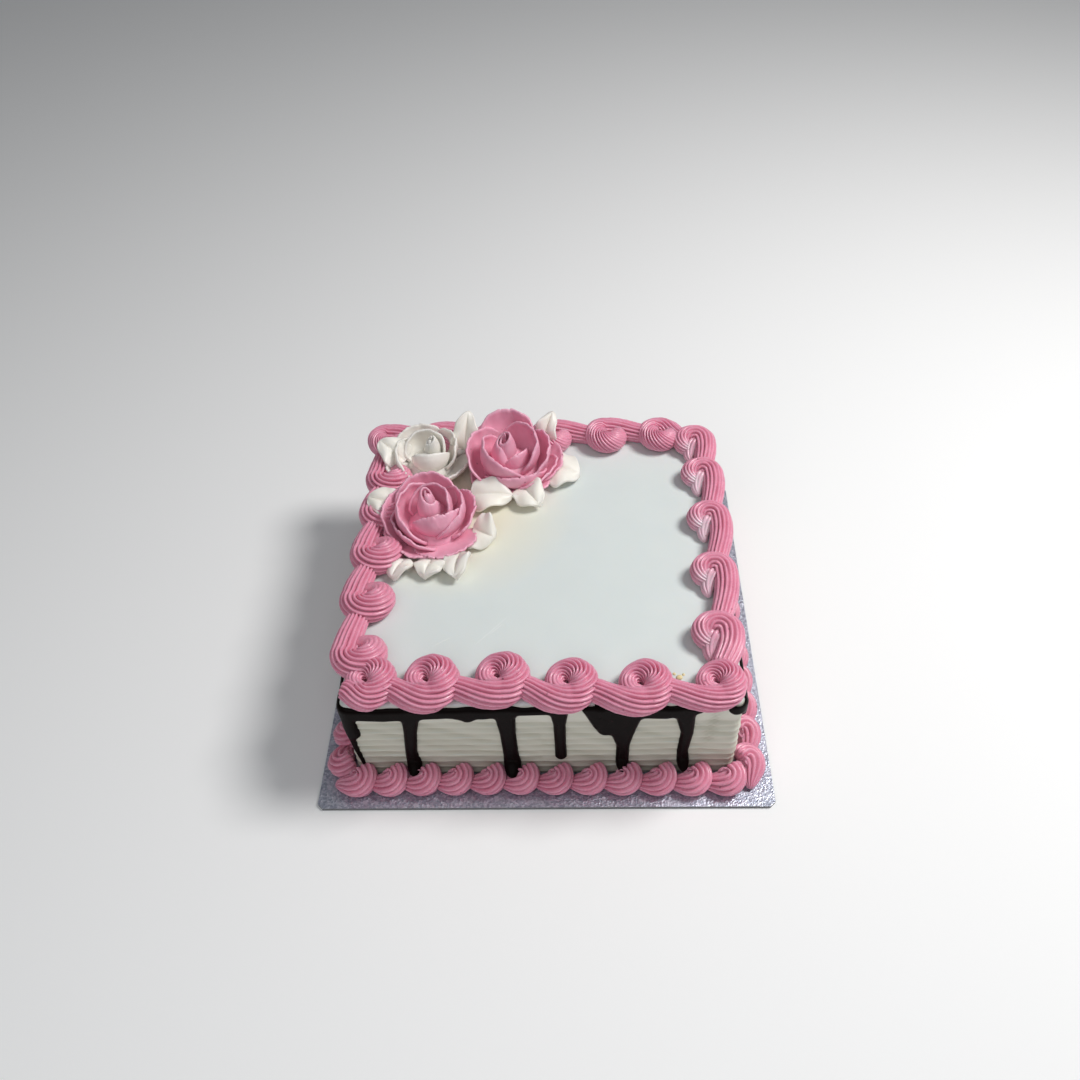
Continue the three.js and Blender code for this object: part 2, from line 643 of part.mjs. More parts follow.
const edge = edgeRoom();
heads.forEach((head, i) => {
  const lastHead = scrollRooms[heads.length - 1];
  const over = i === 0 ? [scrollRooms[1], lastHead] : scrollRooms.slice(i + 1, i + 2);
  const solid = cutBack(scrollSolid(head), [edge, ...over, ...roseRooms]);
  place(`scroll_${twoDigits(i + 1)}`, solid, "pink_buttercream");
});

LEAVES.forEach((leaf, i) => {
  const covers = [...roseRooms, ...scrollRooms, ...leafRooms.slice(0, i)];
  const solid = levelCut(cutBack(leafSolid(leaf), covers), TOP_FLOOR);
  place(`leaf_${twoDigits(i + 1)}`, solid, "white_buttercream");
});

export default wholeCake;
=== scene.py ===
"""A square buttercream cake on a silver card: piped scrolls, chocolate drips, roses and leaves.

Sizes are millimetres until a piece is made, when they become metres. The cake faces -Y.
"""

import math

import bpy
import numpy as np
from mathutils import Matrix, Vector


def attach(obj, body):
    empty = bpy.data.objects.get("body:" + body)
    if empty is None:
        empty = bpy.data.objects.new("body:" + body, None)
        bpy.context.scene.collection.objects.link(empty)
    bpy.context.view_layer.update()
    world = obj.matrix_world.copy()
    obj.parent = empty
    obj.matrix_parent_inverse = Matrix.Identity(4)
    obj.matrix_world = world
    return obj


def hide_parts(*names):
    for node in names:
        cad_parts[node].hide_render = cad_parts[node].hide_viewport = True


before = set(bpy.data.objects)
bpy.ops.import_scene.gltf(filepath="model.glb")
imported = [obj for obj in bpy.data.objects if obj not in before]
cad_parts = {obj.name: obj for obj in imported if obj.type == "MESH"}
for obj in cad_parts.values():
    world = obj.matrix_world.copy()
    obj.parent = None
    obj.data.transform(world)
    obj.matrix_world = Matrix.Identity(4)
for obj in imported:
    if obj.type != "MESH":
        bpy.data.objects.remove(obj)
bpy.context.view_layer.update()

MM = 0.001

# The cake and its card
CARD_TOP = 2.3
CAKE_HALF = 106.5
CAKE_TOP = 70.0
CAKE_CORNER = 5.0
TOP_FLOOR = 70.3
EDGE_ROUND = 3.0
ICE = {"around": 480, "edge_rings": 7, "top_rings": 26, "swell": 0.12}
COMB = {
    "pitch": 5.6, "depth": 1.4, "smooth_top": 12.0, "step": 0.6, "drift": 0.5, "crest": 0.6, "fine": 0.15,
    "uneven": 0.3, "smooth": 0.25,
}
# Where the comb chattered on the front, and where it tore the icing at the front's right corner
CHATTER = {"at": 90, "lean": 0.12, "middle": 45, "wide": 3.0, "above": 30, "pitch": 3.6, "depth": 0.7}
TORN = {"wide": 7, "below": 26, "depth": 0.7}

# Chocolate round the top edge
BAND = {
    "low": 60.5, "low_wave": 2.4, "top": 68.4, "top_wave": 0.5, "thick": 1.7, "sunk": 1.6, "round": 2.6,
    "swollen": 2.2, "melt": 4.0,
}
POUR = {"across": 1050, "from": 7, "cell": 0.8}
FRONT_BAND_LOW = [
    (-106, 60), (-97, 58), (-84, 57), (-66, 58.5), (-50, 59.5), (-40, 58.5), (-30, 58.5), (-12, 61.5),
    (2, 62), (12, 63), (16, 69), (20, 69), (25, 62), (55, 58), (66, 57.5), (84, 62.5), (88, 69),
    (96, 69.5), (99, 66), (106, 61),
]
# Runs of chocolate by side, as seen from outside. A run has how far its last drop lies out over the shells,
# and the spots (along, height, half width) that the chocolate flowed through.
RUNS = {
    "front": [
        (0, [(-104, 62, 4.6), (-103, 50, 4.2), (-101.5, 44.5, 3.4)]),
        (0, [(-104.5, 50, 2.4), (-103, 30, 1.4), (-101, 16, 1.0)]),
        (6.5, [(-69, 62, 5), (-71, 46, 3.6), (-73, 26, 3.3), (-72.5, 15, 4.2)]),
        (0, [(-40, 62, 5), (-39, 59.5, 3.6)]),
        (7.5, [(-19, 62, 5.6), (-18.5, 44, 4.3), (-18, 24, 4.2), (-17.6, 14.6, 4.9)]),
        (0, [(9.5, 64, 5), (9.5, 52, 3.3), (9.5, 34, 3.1), (9.6, 22, 3.2)]),
        (0, [(26, 65, 4), (33, 52, 6), (34, 47, 4.6)]),
        (5, [(43, 62, 11), (43, 46, 6.8), (43.5, 32, 3.6), (43.2, 15.5, 3.6)]),
        (5, [(75.5, 62, 5.5), (77.5, 44, 3.4), (76, 26, 3), (76.8, 15.5, 3.5)]),
        (0, [(102.5, 67, 3.6), (101.7, 64.5, 3.9)]),
    ],
    "right": [
        (0, [(-103, 66, 2.4), (-102.5, 58, 2.2)]),
        (6, [(-63, 62, 5.5), (-62, 40, 3.6), (-63, 15.5, 4.1)]),
        (0, [(-21, 62, 4.6), (-21.5, 46, 3.3), (-21, 33.5, 3.4)]),
        (6, [(26, 62, 6), (27, 40, 4), (26, 15.5, 4.4)]),
        (0, [(72, 62, 5.2), (71, 44, 3.5), (72, 25.5, 3.6)]),
    ],
    "back": [
        (0, [(-84, 62, 5.5), (-85, 44, 3.8), (-84, 22.5, 3.8)]),
        (0, [(-46, 62, 4.4), (-46, 50, 3), (-45.5, 39, 3)]),
        (6, [(-8, 62, 6), (-9, 40, 4), (-8, 15.5, 4.3)]),
        (0, [(33, 62, 4.8), (33.5, 44, 3.3), (33, 30, 3.3)]),
        (6, [(77, 62, 5.8), (76, 40, 4), (77, 15.5, 4.2)]),
    ],
    "left": [
        (6, [(-79, 62, 5.6), (-80, 40, 3.8), (-79, 15.5, 4.2)]),
        (0, [(-38, 62, 4.8), (-38, 48, 3.3), (-37.5, 36, 3.4)]),
        (6, [(4, 62, 6), (3, 40, 4), (4, 15.5, 4.3)]),
        (0, [(45, 62, 4.4), (45.5, 52, 3), (45, 43, 3)]),
        (0, [(84, 62, 5.5), (85, 44, 3.8), (84, 23.5, 3.8)]),
    ],
}
SIDE_ORDER = ["front", "right", "back", "left"]

# Fine scratches in the top's icing, from one end to the other
SCRATCHES = [((-37, -67), (-18, -45)), ((-60, -67), (-49, -60)), ((-30, -60), (-21, -51))]
SCRATCH_HALF = 0.4
# Small crumbs of cream on the top: place and half width
CRUMBS = [(45.5, -88.5, 1.5), (48.2, -90.3, 1.0), (73.2, -89.5, 1.7), (70.6, -87.2, 0.9), (75.4, -87.6, 0.8)]
CRUMB = {"around": 14, "rings": 7, "squash": 0.6, "uneven": 0.16}

# The way the bag travels along each side, and the way outwards
SIDES = {
    "back": ((1, 0), (0, 1)),
    "right": ((0, -1), (1, 0)),
    "front": ((-1, 0), (0, -1)),
    "left": ((0, 1), (-1, 0)),
}

# Scrolls of the top border, in the order they are piped: place along the side, distance out, and size
SCROLLS = {
    "left": [(-74, 99, 1), (-35.5, 99.5, 1), (0.5, 99, 1), (34.5, 99, 0.97), (64.5, 99, 0.95)],
    "back": [
        (-102, 99.5, 0.95), (-66.5, 100, 1), (-30.5, 100, 1), (5.5, 100, 1), (41.4, 100.5, 1),
        (75.7, 100.5, 0.97),
    ],
    "right": [(89.5, 96.8, 1), (59, 99, 0.97), (19.8, 99.5, 0.98), (-23, 98, 1), (-67.8, 95.6, 1.06)],
    "front": [
        (92, 97, 0.9), (53, 98, 0.98), (14.6, 96.5, 0.97), (-21.5, 92.5, 1), (-58.8, 94.5, 1.03),
        (-91, 94, 0.97),
    ],
}
LAST_TAIL = 21
# Scrolls with white cream dragged into them, and how much. On the loop it starts, is full, fades and is gone
# at these shares. On the right side it shows in a tongue of cream left under the scroll's arch, given by its
# spots: along, out, up and half width.
SMEARS = {12: 0.5, 13: 1.0, 14: 1.0, 15: 0.8, 16: 0.4}
SMEARED = (0.1, 0.24, 0.42, 0.62)
TONGUE = [
    (-2.5, 0.6, 5.8, 3.8), (0.5, -1.4, 5.8, 5.0), (4.0, -3.4, 4.4, 4.8), (8.5, -4.2, 2.8, 3.6),
    (13, -3.4, 1.6, 1.5),
]
TONGUE_ROPE = {"steps": 20, "ridges": 10, "groove": 0.24, "held": 0, "ends": (3, 2.3), "uneven": 0.8}

# A scroll's loop, by side: distance from the eye, half width and height at even steps round it
LOOPS = {
    "left": [
        (1.4, 2.8, 5.6), (2.8, 3.6, 5.2), (5.2, 5.6, 5.6), (9.6, 8.5, 7.1), (9.8, 8.6, 7.0), (6.8, 7.9, 6.0),
    ],
    "back": [
        (2.2, 3.8, 6.0), (5.4, 5.4, 5.2), (6.6, 6.6, 6.0), (7.8, 7.4, 6.9), (7.8, 7.7, 6.9), (6.4, 7.5, 5.8),
    ],
    "right": [
        (1.4, 2.6, 4.6), (2.8, 3.0, 4.2), (4.6, 3.9, 4.2), (8.2, 6.6, 6.1), (7.2, 7.5, 7.0), (5.9, 7.6, 6.2),
    ],
    "front": [
        (2.0, 3.6, 5.6), (6.2, 5.4, 5.0), (7.2, 6.3, 5.4), (7.4, 7.5, 7.3), (8.9, 8.0, 7.4), (9.6, 7.9, 4.8),
    ],
}
# How far the piping tip is held still, which turns the ridges round the rope, at shares of the loop
LOOP_SHARES = (0, 0.3, 0.45, 0.7, 0.85)
HELD = {
    "left": (0.4, 0.2, 0.2, 0.6, 0.4),
    "back": (0.4, 0.4, 1.7, 1.6, 0.6),
    "right": (1, 0.8, 0, -0.2, 0),
    "front": (0.2, 0.1, 0.8, 0.8, 0.8),
}
# How deep the grooves are at the same shares
GROOVES = {
    "left": (0.14, 0.02, 0, 0.3, 0.36),
    "back": (0.1, 0.02, 0.06, 0.4, 0.32),
    "right": (0.12, 0.14, 0.2, 0.3, 0.28),
    "front": (0.12, 0.12, 0.34, 0.44, 0.3),
}
SCROLL = {
    "start": 105, "turn": 363, "uneven": 0.3, "tail_rope": 6.3, "tail_lift": 4.8, "tail_bend": (0.42, 0.3),
    "tuck": 9, "ridges": 16, "loop_steps": 70, "tail_steps": 22, "ends": (6.7, 4.2), "swell": 0.018,
}
# Beyond the edge of the cake's top, cream sinks lower
OVERHANG = {"from": 108.6, "fall": 1.4, "most": 6}

# Shells of the foot border. A shell's bend gives its stations: along, out, up and half width.
SHELL = {
    "first": -102, "pitch": 18.6, "count": 12, "offset": 6.6, "ridges": 12, "groove": 0.38, "held": -0.4,
    "steps": 28, "ends": (3.3, 2.5), "uneven": 0.04, "astray": 0.5,
    "bend": [
        (0.8, -5.6, 8.0, 6.2), (-0.4, -3.4, 8.4, 7.4), (-0.8, -0.4, 7.8, 8.1), (0.8, 1.8, 6.8, 8.0),
        (4.4, 2.2, 5.8, 7.2), (8.6, 1.4, 4.7, 5.6), (12.4, 0.6, 3.4, 3.8), (15.4, 0.4, 2.4, 1.8),
    ],
}

# The steps round one ridge of a rope, and the groove that counts as fully cut. The teeth of the piping tip
# cut grooves of uneven depth, which changes along the rope.
RIDGE_STEPS = (0.0, 0.16, 0.38, 0.62, 0.84)
FULL_GROOVE = 0.26
TEETH = {"crest": 0.75, "uneven": 0.34, "bulge": 0.022, "apart": 17.0, "pace": 0.96}

# Roses, each with its petals from the bud outwards. A petal has the middle of its span and half the span in
# degrees from +X, its rim's radius and height, the bend of its side as shares of these, and how torn it is.
ROSES = {
    "rose_front": {
        "place": (-66, 22), "seed": 3,
        "bud": {
            "turn": 140, "turns": 1.7, "radius": (0.7, 4.9), "height": 27, "slope": 0.14,
            "off": (-2, 3.5), "fill": 1.0,
        },
        "petals": [
            (62, 105, 10.5, 27.5, (1.7, 0.5), 0.3), (-66, 84, 13, 25, (1.7, 0.5), 0.9),
            (170, 92, 19, 25.5, (1.35, 0.4), 0.5), (5, 84, 18.5, 22, (1.25, 0.4), 0.4),
            (212, 66, 24.5, 17.5, (1.0, 0.25), 0.8), (105, 64, 23.5, 25, (1.05, 0.4), 0.6),
            (12, 58, 26, 17.5, (0.9, 0.3), 1.0), (160, 60, 29.5, 18, (0.9, 0.3), 0.9),
            (222, 52, 31.5, 11, (0.8, 0.3), 1.2), (-66, 56, 31.5, 9, (0.75, 0.5), 1.8),
        ],
    },
    "rose_back": {
        "place": (-21, 71), "seed": 5,
        "bud": {
            "turn": 35, "turns": 1.7, "radius": (1.6, 5.2), "height": 29.8, "slope": 0.1,
            "off": (-3, 1), "fill": 0.86,
        },
        "petals": [
            (-42, 84, 8.0, 22.5, (1.75, 0.5), 0.4),
            (205, 96, 16.5, 28, (1.45, 0.45), 0.5), (28, 86, 17, 28.8, (1.35, 0.45), 0.4),
            (-80, 72, 21.5, 17.5, (1.2, 0.35), 1.0), (165, 66, 26, 24.5, (1.05, 0.35), 0.6),
            (95, 52, 26.5, 29.4, (1.0, 0.45), 0.5), (8, 66, 25, 22.5, (1.05, 0.35), 0.5),
            (-28, 52, 29, 15, (0.85, 0.3), 0.6), (6, 46, 33, 12.5, (0.8, 0.35), 0.7),
            (-58, 40, 30, 8, (0.75, 0.5), 0.9), (-140, 46, 28.5, 9, (0.8, 0.35), 0.8),
        ],
    },
    "rose_white": {
        "place": (-74, 77), "seed": 8,
        "bud": {
            "turn": 20, "turns": 1.2, "radius": (1.4, 3.4), "height": 22.5, "slope": 0.1,
            "off": (2, 3), "fill": 0.99,
        },
        "petals": [
            (88, 95, 11, 23.5, (1.5, 0.5), 0.3), (-80, 92, 8.5, 21, (2.0, 0.5), 0.3),
            (182, 66, 19, 19.5, (1.2, 0.4), 0.5), (30, 62, 19, 19.5, (1.15, 0.4), 0.5),
            (112, 56, 23, 18.5, (1.0, 0.4), 0.5), (-40, 60, 26, 12.5, (0.95, 0.3), 0.7),
            (190, 54, 27.5, 13.5, (0.85, 0.3), 0.7), (-128, 50, 26, 8, (0.8, 0.4), 0.7),
        ],
    },
}
PETAL = {
    "across": 81, "up": 14, "foot": (0.34, 1.0), "thick": (2.8, 1.2), "tuck": 2.0, "drop": 0.5, "tear": 1.5,
    "nick": 0.4, "wave": 0.9, "lip": 3.4, "lip_from": 0.88, "drawn": 0.13, "rim": 0.25,
}
BUD = {"around": 120, "up": 15, "belly": 0.75, "tear": 0.3, "thick": (1.3, 0.6), "foot": 0.3, "rim": 0.3}
# How much taller a rose's far side is, as it faces a little forwards
LEAN = 0.1
# The cream inside a bud, from its foot up: share of the height, and of the bud's width
BUD_CORE = [(0, 0.8), (0.45, 0.95), (0.8, 0.62), (0.93, 0.42), (1, 0.02)]
# The cone under the petals: share of the rose's width, and of its bud's height
ROSE_HEART = [(0.02, 0.0), (0.6, 0.0), (0.53, 0.24), (0.36, 0.4), (0.2, 0.55), (0.02, 0.7)]

# Leaves: foot, way they point in degrees from +X, lift and roll in degrees, length, width, how far the
# edges rise, and how pointed the tip is
LEAVES = [
    ((-45, 46, 4), -2, 3, 20, 26, 24, 3.2, 1.8),
    ((-13, 54, 4), -58, 2, 20, 20, 20, 3.0, 4),
    ((2, 70, 3), -14, 3, 6, 21, 28, 1.6, 3.2),
    ((-41, 18, 4), -34, 4, 34, 14.5, 24, 3.4, 4),
    ((-47, -3, 4), -98, 3, 22, 19, 17, 3.4, 4),
    ((-64, -7, 3), -108, 2, 8, 13, 18, 2.0, 4),
    ((-80, -7, 3), -116, 3, 10, 15, 15, 2.6, 4),
    ((-90, 33, 9), 168, 14, -18, 18, 20, 2.6, 2.6),
    ((-51, 88, 7), 78, 58, 8, 25, 20, 3.0, 1.6),
    ((0, 93, 7), 62, 54, 8, 21, 16, 3.0, 1.6),
    ((-90, 76, 7), 152, 32, -14, 21, 22, 3.4, 1.8),
]
LEAF = {
    "along": 32, "across": 37, "thick": (6.2, 2.4), "thinner": 0.35, "foot": 0.2, "arch": 0.1, "crease": 1.3,
    "fold": 0.09, "belly": 1.0, "wave": 1.3, "ruffle": 0.07,
}

CAMERA = {"place": (22.245, -408.564, 508.358), "turn": 3.3, "down": 46.1, "roll": -3.3, "lens": 33.83}
# Where the roses' warm tinge on the icing is strongest, and the stage, all in metres
ROSES_MIDDLE = (-0.055, 0.04, 0.07)
FLOOR_HALF = 2.5
LIT_SPOT = (0, 0, 0.05)


# Small helpers for numbers

def mix(low, high, share):
    return low + (high - low) * share


def ease(share):
    share = np.clip(share, 0.0, 1.0)
    return share * share * (3 - 2 * share)


def wobble(seed, index):
    return math.sin(seed * 12.9898 + index * 78.233)


def ripple(where, seed, waves):
    """A smooth uneven line between about -1 and 1, from a few waves of the given lengths."""
    sines = [
        np.sin(2 * math.pi * where / length + 1.7 * seed + 2.3 * number)
        for number, length in enumerate(waves)
    ]
    return sum(sines) / len(waves)


# Meshes, built up from rings of points

class Skin:
    """The points and faces of one piece, with a named mark for each point."""

    def __init__(self, *marks):
        self.points = []
        self.faces = []
        self.marks = {mark: [] for mark in marks}
        self.count = 0

    def add(self, points, faces, **marks):
        points = np.asarray(points, float)
        if enclosed(points, faces) < 0:
            faces = [face[::-1] for face in faces]
        self.faces.extend([[int(i) + self.count for i in face] for face in faces])
        self.points.append(points)
        for mark, values in self.marks.items():
            values.append(np.broadcast_to(np.asarray(marks.get(mark, 0.0), float), (len(points),)))
        self.count += len(points)

    def piece(self, name, material, slot, *nodes):
        mesh = bpy.data.meshes.new(name)
        mesh.from_pydata((np.concatenate(self.points) * MM).tolist(), [], self.faces)
        for mark, values in self.marks.items():
            layer = mesh.attributes.new(mark, "FLOAT", "POINT")
            layer.data.foreach_set("value", np.concatenate(values).astype(np.float32))
        mesh.shade_smooth()
        mesh.materials.append(material)
        made = bpy.data.objects.new(name, mesh)
        bpy.context.scene.collection.objects.link(made)
        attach(made, "root")
        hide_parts(*nodes)


def enclosed(points, faces):
    """Six times the volume inside the faces, below zero where they face inwards."""
    total = 0.0
    for corners in (3, 4, 5, 6):
        chosen = np.array([face for face in faces if len(face) == corners])
        if not len(chosen):
            continue
        for i in range(1, corners - 1):
            a, b, c = (points[chosen[:, j]] for j in (0, i, i + 1))
            total += float(np.einsum("ij,ij->", a, np.cross(b, c)))
    return total


def closed_tube(rings):
    """Points and faces of a tube through rings (rings, around, 3), with a fan to a tip at either end."""
    count, around, _ = rings.shape
    tips = np.stack([rings[0].mean(axis=0), rings[-1].mean(axis=0)])
    i = np.arange(count - 1)[:, None] * around
    j = np.arange(around)[None, :]
    k = (j + 1) % around
    quads = np.stack([i + j, i + k, i + around + k, i + around + j], axis=-1).reshape(-1, 4).tolist()
    first, last, end = count * around, count * around + 1, (count - 1) * around
    fans = [[first, (m + 1) % around, m] for m in range(around)]
    fans += [[last, end + m, end + (m + 1) % around] for m in range(around)]
    return np.concatenate([rings.reshape(-1, 3), tips]), quads + fans


def level(flat, height):
    """A ring of places, all at one height or each at its own."""
    return np.column_stack([flat, np.broadcast_to(height, len(flat))])


def turned_rings(profile, around, middle=(0, 0), uneven=1.0):
    """Rings about an upright line, from a profile of half widths and heights."""
    angle = np.linspace(0, 2 * math.pi, around, endpoint=False)
    outline = np.column_stack([uneven * np.cos(angle), uneven * np.sin(angle)])
    return np.stack([level(np.array(middle) + wide * outline, tall) for wide, tall in profile])


def with_tips(values, first, last):
    """One value for each point of a closed tube, the two at its ends included."""
    return np.append(values.ravel(), [first, last])


def thin_sheet(faces, share, rise):
    """Rings over both faces of a thin sheet and its rim, and how near to the rim each point lies."""
    edge = (faces[0][:, -1:] + faces[1][:, -1:]) / 2
    edge[..., 2] += rise
    rings = np.concatenate([faces[0], edge, faces[1][:, ::-1]], axis=1)
    rim = np.concatenate([share, np.ones((len(share), 1)), share[:, ::-1]], axis=1)
    return rings, rim


# Piping

def piped_rope(at, lift, half, floor, rope, turned):
    """Rings of a ridged rope of cream along a row of places, flat where it lies on the floor.

    The teeth of the piping tip keep their way, so the ridges turn round the rope where it bends, as far as
    the tip is held still. The rope's "held" and "groove" are one value, or one for each place. Also returns
    how deep in a groove each point lies, and its angle.
    """
    ridges, groove = rope["ridges"], np.reshape(rope["groove"], (-1, 1))
    half = half * round_end(len(at), rope["ends"][0]) * round_end(len(at), rope["ends"][1])[::-1]
    run = np.gradient(at, axis=0)
    run /= np.linalg.norm(run, axis=1)[:, None]
    side = np.stack([-run[:, 1], run[:, 0]], axis=1)
    heading = np.unwrap(np.arctan2(run[:, 1], run[:, 0]))
    steps = np.array([r + f for r in range(ridges) for f in RIDGE_STEPS])
    crest = np.abs(np.sin(math.pi * steps)) ** TEETH["crest"]
    tooth = TEETH["apart"] * np.floor(steps + 0.3)[None, :]
    along = np.arange(len(at))[:, None] * TEETH["pace"]
    strength = 1 + TEETH["uneven"] * ripple(along + tooth, 3, (37, 23, 13))
    cut = np.clip(groove / FULL_GROOVE, 0, 1)
    size = 1 - groove * (1 - crest)[None, :] * strength
    size = size * (1 + TEETH["bulge"] * cut * ripple(tooth, 6, (29, 41)))
    twist = turned - np.cumsum(np.diff(heading, prepend=heading[0]) * rope["held"])
    angle = 2 * math.pi * steps[None, :] / ridges + twist[:, None]
    reach = half[:, None] * size
    flat = at[:, None, :] + side[:, None, :] * (np.cos(angle) * reach)[..., None]
    high = floor + lift[:, None] + np.sin(angle) * reach
    rings = np.concatenate([flat, np.maximum(high, floor_under(flat, floor))[..., None]], axis=2)
    depth = (1 - crest)[None, :] * strength * cut
    return rings, depth, angle


def floor_under(flat, floor):
    """The height that cream can sink to: the floor, and lower beyond the edge of the cake's top."""
    if floor < CAKE_TOP:
        return floor
    beyond = np.abs(flat).max(axis=-1) - OVERHANG["from"]
    return floor - np.clip(beyond * OVERHANG["fall"], 0, OVERHANG["most"])


def stroke(stations, steps, foot, along, out):
    """Places, heights and half widths of a short stroke through stations (along, out, up, half width)."""
    spots = np.linspace(0, len(stations) - 1, steps)
    a, b, up, half = (smooth_through(stations[:, i], spots) for i in range(4))
    return foot + a[:, None] * along + b[:, None] * out, up, half


def round_end(count, length, start=0.35):
    """Half widths that round a rope's end off over its first places, as shares."""
    share = np.clip((np.arange(count) + start) / length, 0, 1)
    return np.sqrt(1 - (1 - share) ** 2)


def bezier(a, b, c, d, share):
    share = np.asarray(share)[:, None]
    rest = 1 - share
    return a * rest ** 3 + b * 3 * rest ** 2 * share + c * 3 * rest * share ** 2 + d * share ** 3


def scroll_heads():
    """Eye, ways along and out, size and number of every scroll, and the eye of the next."""
    heads = []
    for side, scrolls in SCROLLS.items():
        along, out = (np.array(way, float) for way in SIDES[side])
        for place, off, size in scrolls:
            head = {"side": side, "along": along, "out": out, "size": size, "number": len(heads)}
            head["eye"] = out * off + np.abs(along) * place
            heads.append(head)
    for head, after in zip(heads, heads[1:]):
        head["next"] = after["eye"]
    heads[-1]["next"] = heads[-1]["eye"] + heads[-1]["along"] * LAST_TAIL
    return heads


def scroll_places(head):
    """Places, heights and half widths along one scroll: a loop about the eye, then a tail to the next."""
    seed = head["number"]
    u = np.linspace(0, 1, SCROLL["loop_steps"])
    loop = np.array(LOOPS[head["side"]]) * head["size"]
    path, half, lift = (smooth_through(loop[:, i], u * (len(loop) - 1)) for i in range(3))
    path = path + SCROLL["uneven"] * wobble(seed, 1) * u
    half = half + SCROLL["uneven"] * wobble(seed, 2) * u
    angle = np.radians(SCROLL["start"] - SCROLL["turn"] * u)
    a, b = path * np.cos(angle), path * np.sin(angle)
    ring = head["eye"] + a[:, None] * head["along"] + b[:, None] * head["out"]

    leave = ring[-1]
    heading = ring[-1] - ring[-2]
    heading /= np.linalg.norm(heading)
    way = head["next"] - leave
    way /= np.linalg.norm(way)
    end = head["next"] - way * SCROLL["tuck"]
    reach = np.linalg.norm(end - leave)
    first, second = SCROLL["tail_bend"]
    v = np.linspace(0, 1, SCROLL["tail_steps"] + 1)[1:]
    tail = bezier(leave, leave + heading * first * reach, end - way * second * reach, end, v)
    at = np.concatenate([ring, tail])
    half = np.concatenate([half, mix(half[-1], SCROLL["tail_rope"], ease(v))])
    lift = np.concatenate([lift, mix(lift[-1], SCROLL["tail_lift"], ease(v))])
    return at, lift, half, np.concatenate([u, 1 + v])


def pipe_scroll(head, material):
    at, lift, half, u = scroll_places(head)
    seed = head["number"]
    half = half * (1 + SCROLL["swell"] * ripple(u, seed, (0.31, 0.17, 0.11)))
    held, groove = (np.interp(u, LOOP_SHARES, table[head["side"]]) for table in (HELD, GROOVES))
    rope = {**SCROLL, "held": held, "groove": groove}
    rings, depth, angle = piped_rope(at, lift, half, TOP_FLOOR, rope, 0.7 * seed)
    smear = SMEARS.get(seed + 1, 0)
    start, full, fading, gone = SMEARED
    dragged = smear * ease((u - start) / (full - start)) * (1 - ease((u - fading) / (gone - fading)))
    streak = 0.65 + 0.35 * np.sin(3 * angle + 9 * u[:, None])
    skin = Skin("groove", "pale")
    pale = with_tips(dragged[:, None] * streak, 0, 0)
    skin.add(*closed_tube(rings), groove=with_tips(depth, 0, 0), pale=pale)
    if smear and head["side"] == "right":
        pipe_tongue(skin, head, smear)
    node = "scroll_%02d" % (seed + 1)
    skin.piece("piped_" + node, material, "pink_buttercream", node)


def pipe_tongue(skin, head, smear):
    """The scroll's first dab of cream, pulled out to a pale tip under the arch."""
    rope, seed = TONGUE_ROPE, head["number"]
    foot = head["eye"] + rope["uneven"] * wobble(seed, 6) * head["out"]
    at, up, half = stroke(np.array(TONGUE) * head["size"], rope["steps"], foot, head["along"], head["out"])
    rings, depth, angle = piped_rope(at, up, half, TOP_FLOOR, rope, 0.5 * seed)
    white = smear * np.linspace(0.35, 1, len(at))[:, None] * (0.8 + 0.2 * np.cos(angle))
    skin.add(*closed_tube(rings), groove=with_tips(depth, 0, 0), pale=with_tips(white, 0, 1))


def pipe_shell(skin, side, place, seed):
    along, out = (np.array(way, float) for way in SIDES[side])
    stations = np.array(SHELL["bend"]) * (1 + SHELL["uneven"] * wobble(seed, 3))
    off = CAKE_HALF + SHELL["offset"] + SHELL["astray"] * wobble(seed, 5)
    foot = out * off + along * (place + wobble(seed, 4))
    at, up, half = stroke(stations, SHELL["steps"], foot, along, out)
    rings, depth, _ = piped_rope(at, up, half, CARD_TOP, SHELL, 1.3 * seed)
    skin.add(*closed_tube(rings), groove=with_tips(depth, 0, 0))


def smooth_through(values, spots):
    """A smooth line through values at 0, 1, 2 and so on, read at the spots."""
    values = np.asarray(values, float)
    slopes = np.gradient(values)
    low = np.clip(np.floor(spots).astype(int), 0, len(values) - 2)
    t = spots - low
    h00, h10 = 2 * t ** 3 - 3 * t ** 2 + 1, t ** 3 - 2 * t ** 2 + t
    h01, h11 = -2 * t ** 3 + 3 * t ** 2, t ** 3 - t ** 2
    return h00 * values[low] + h10 * slopes[low] + h01 * values[low + 1] + h11 * slopes[low + 1]


def pipe_foot_border(side, material):
    skin = Skin("groove")
    for number in range(SHELL["count"]):
        place = SHELL["first"] + number * SHELL["pitch"]
        pipe_shell(skin, side, place, number + 20 * SIDE_ORDER.index(side))
    skin.piece("piped_shells_" + side, material, "pink_buttercream", "foot_shells_" + side)


# The iced block and the chocolate on it

STRAIGHT = CAKE_HALF - CAKE_CORNER
QUARTER = 2 * STRAIGHT + math.pi / 2 * CAKE_CORNER
ROUND = 4 * QUARTER


def wall_spot(s):
    """Place and outward way on the cake's wall, s millimetres round from the middle of the front."""
    side = np.floor((s + QUARTER / 2) / QUARTER)
    along = s - side * QUARTER
    bend = np.clip((np.abs(along) - STRAIGHT) / CAKE_CORNER, 0, math.pi / 4)
    sign = np.sign(along)
    x = np.clip(along, -STRAIGHT, STRAIGHT) + sign * CAKE_CORNER * np.sin(bend)
    y = -(STRAIGHT + CAKE_CORNER * np.cos(bend))
    nx, ny = sign * np.sin(bend), -np.cos(bend)
    turn = side * math.pi / 2
    c, k = np.cos(turn), np.sin(turn)
    return np.stack([x * c - y * k, x * k + y * c], -1), np.stack([nx * c - ny * k, nx * k + ny * c], -1)


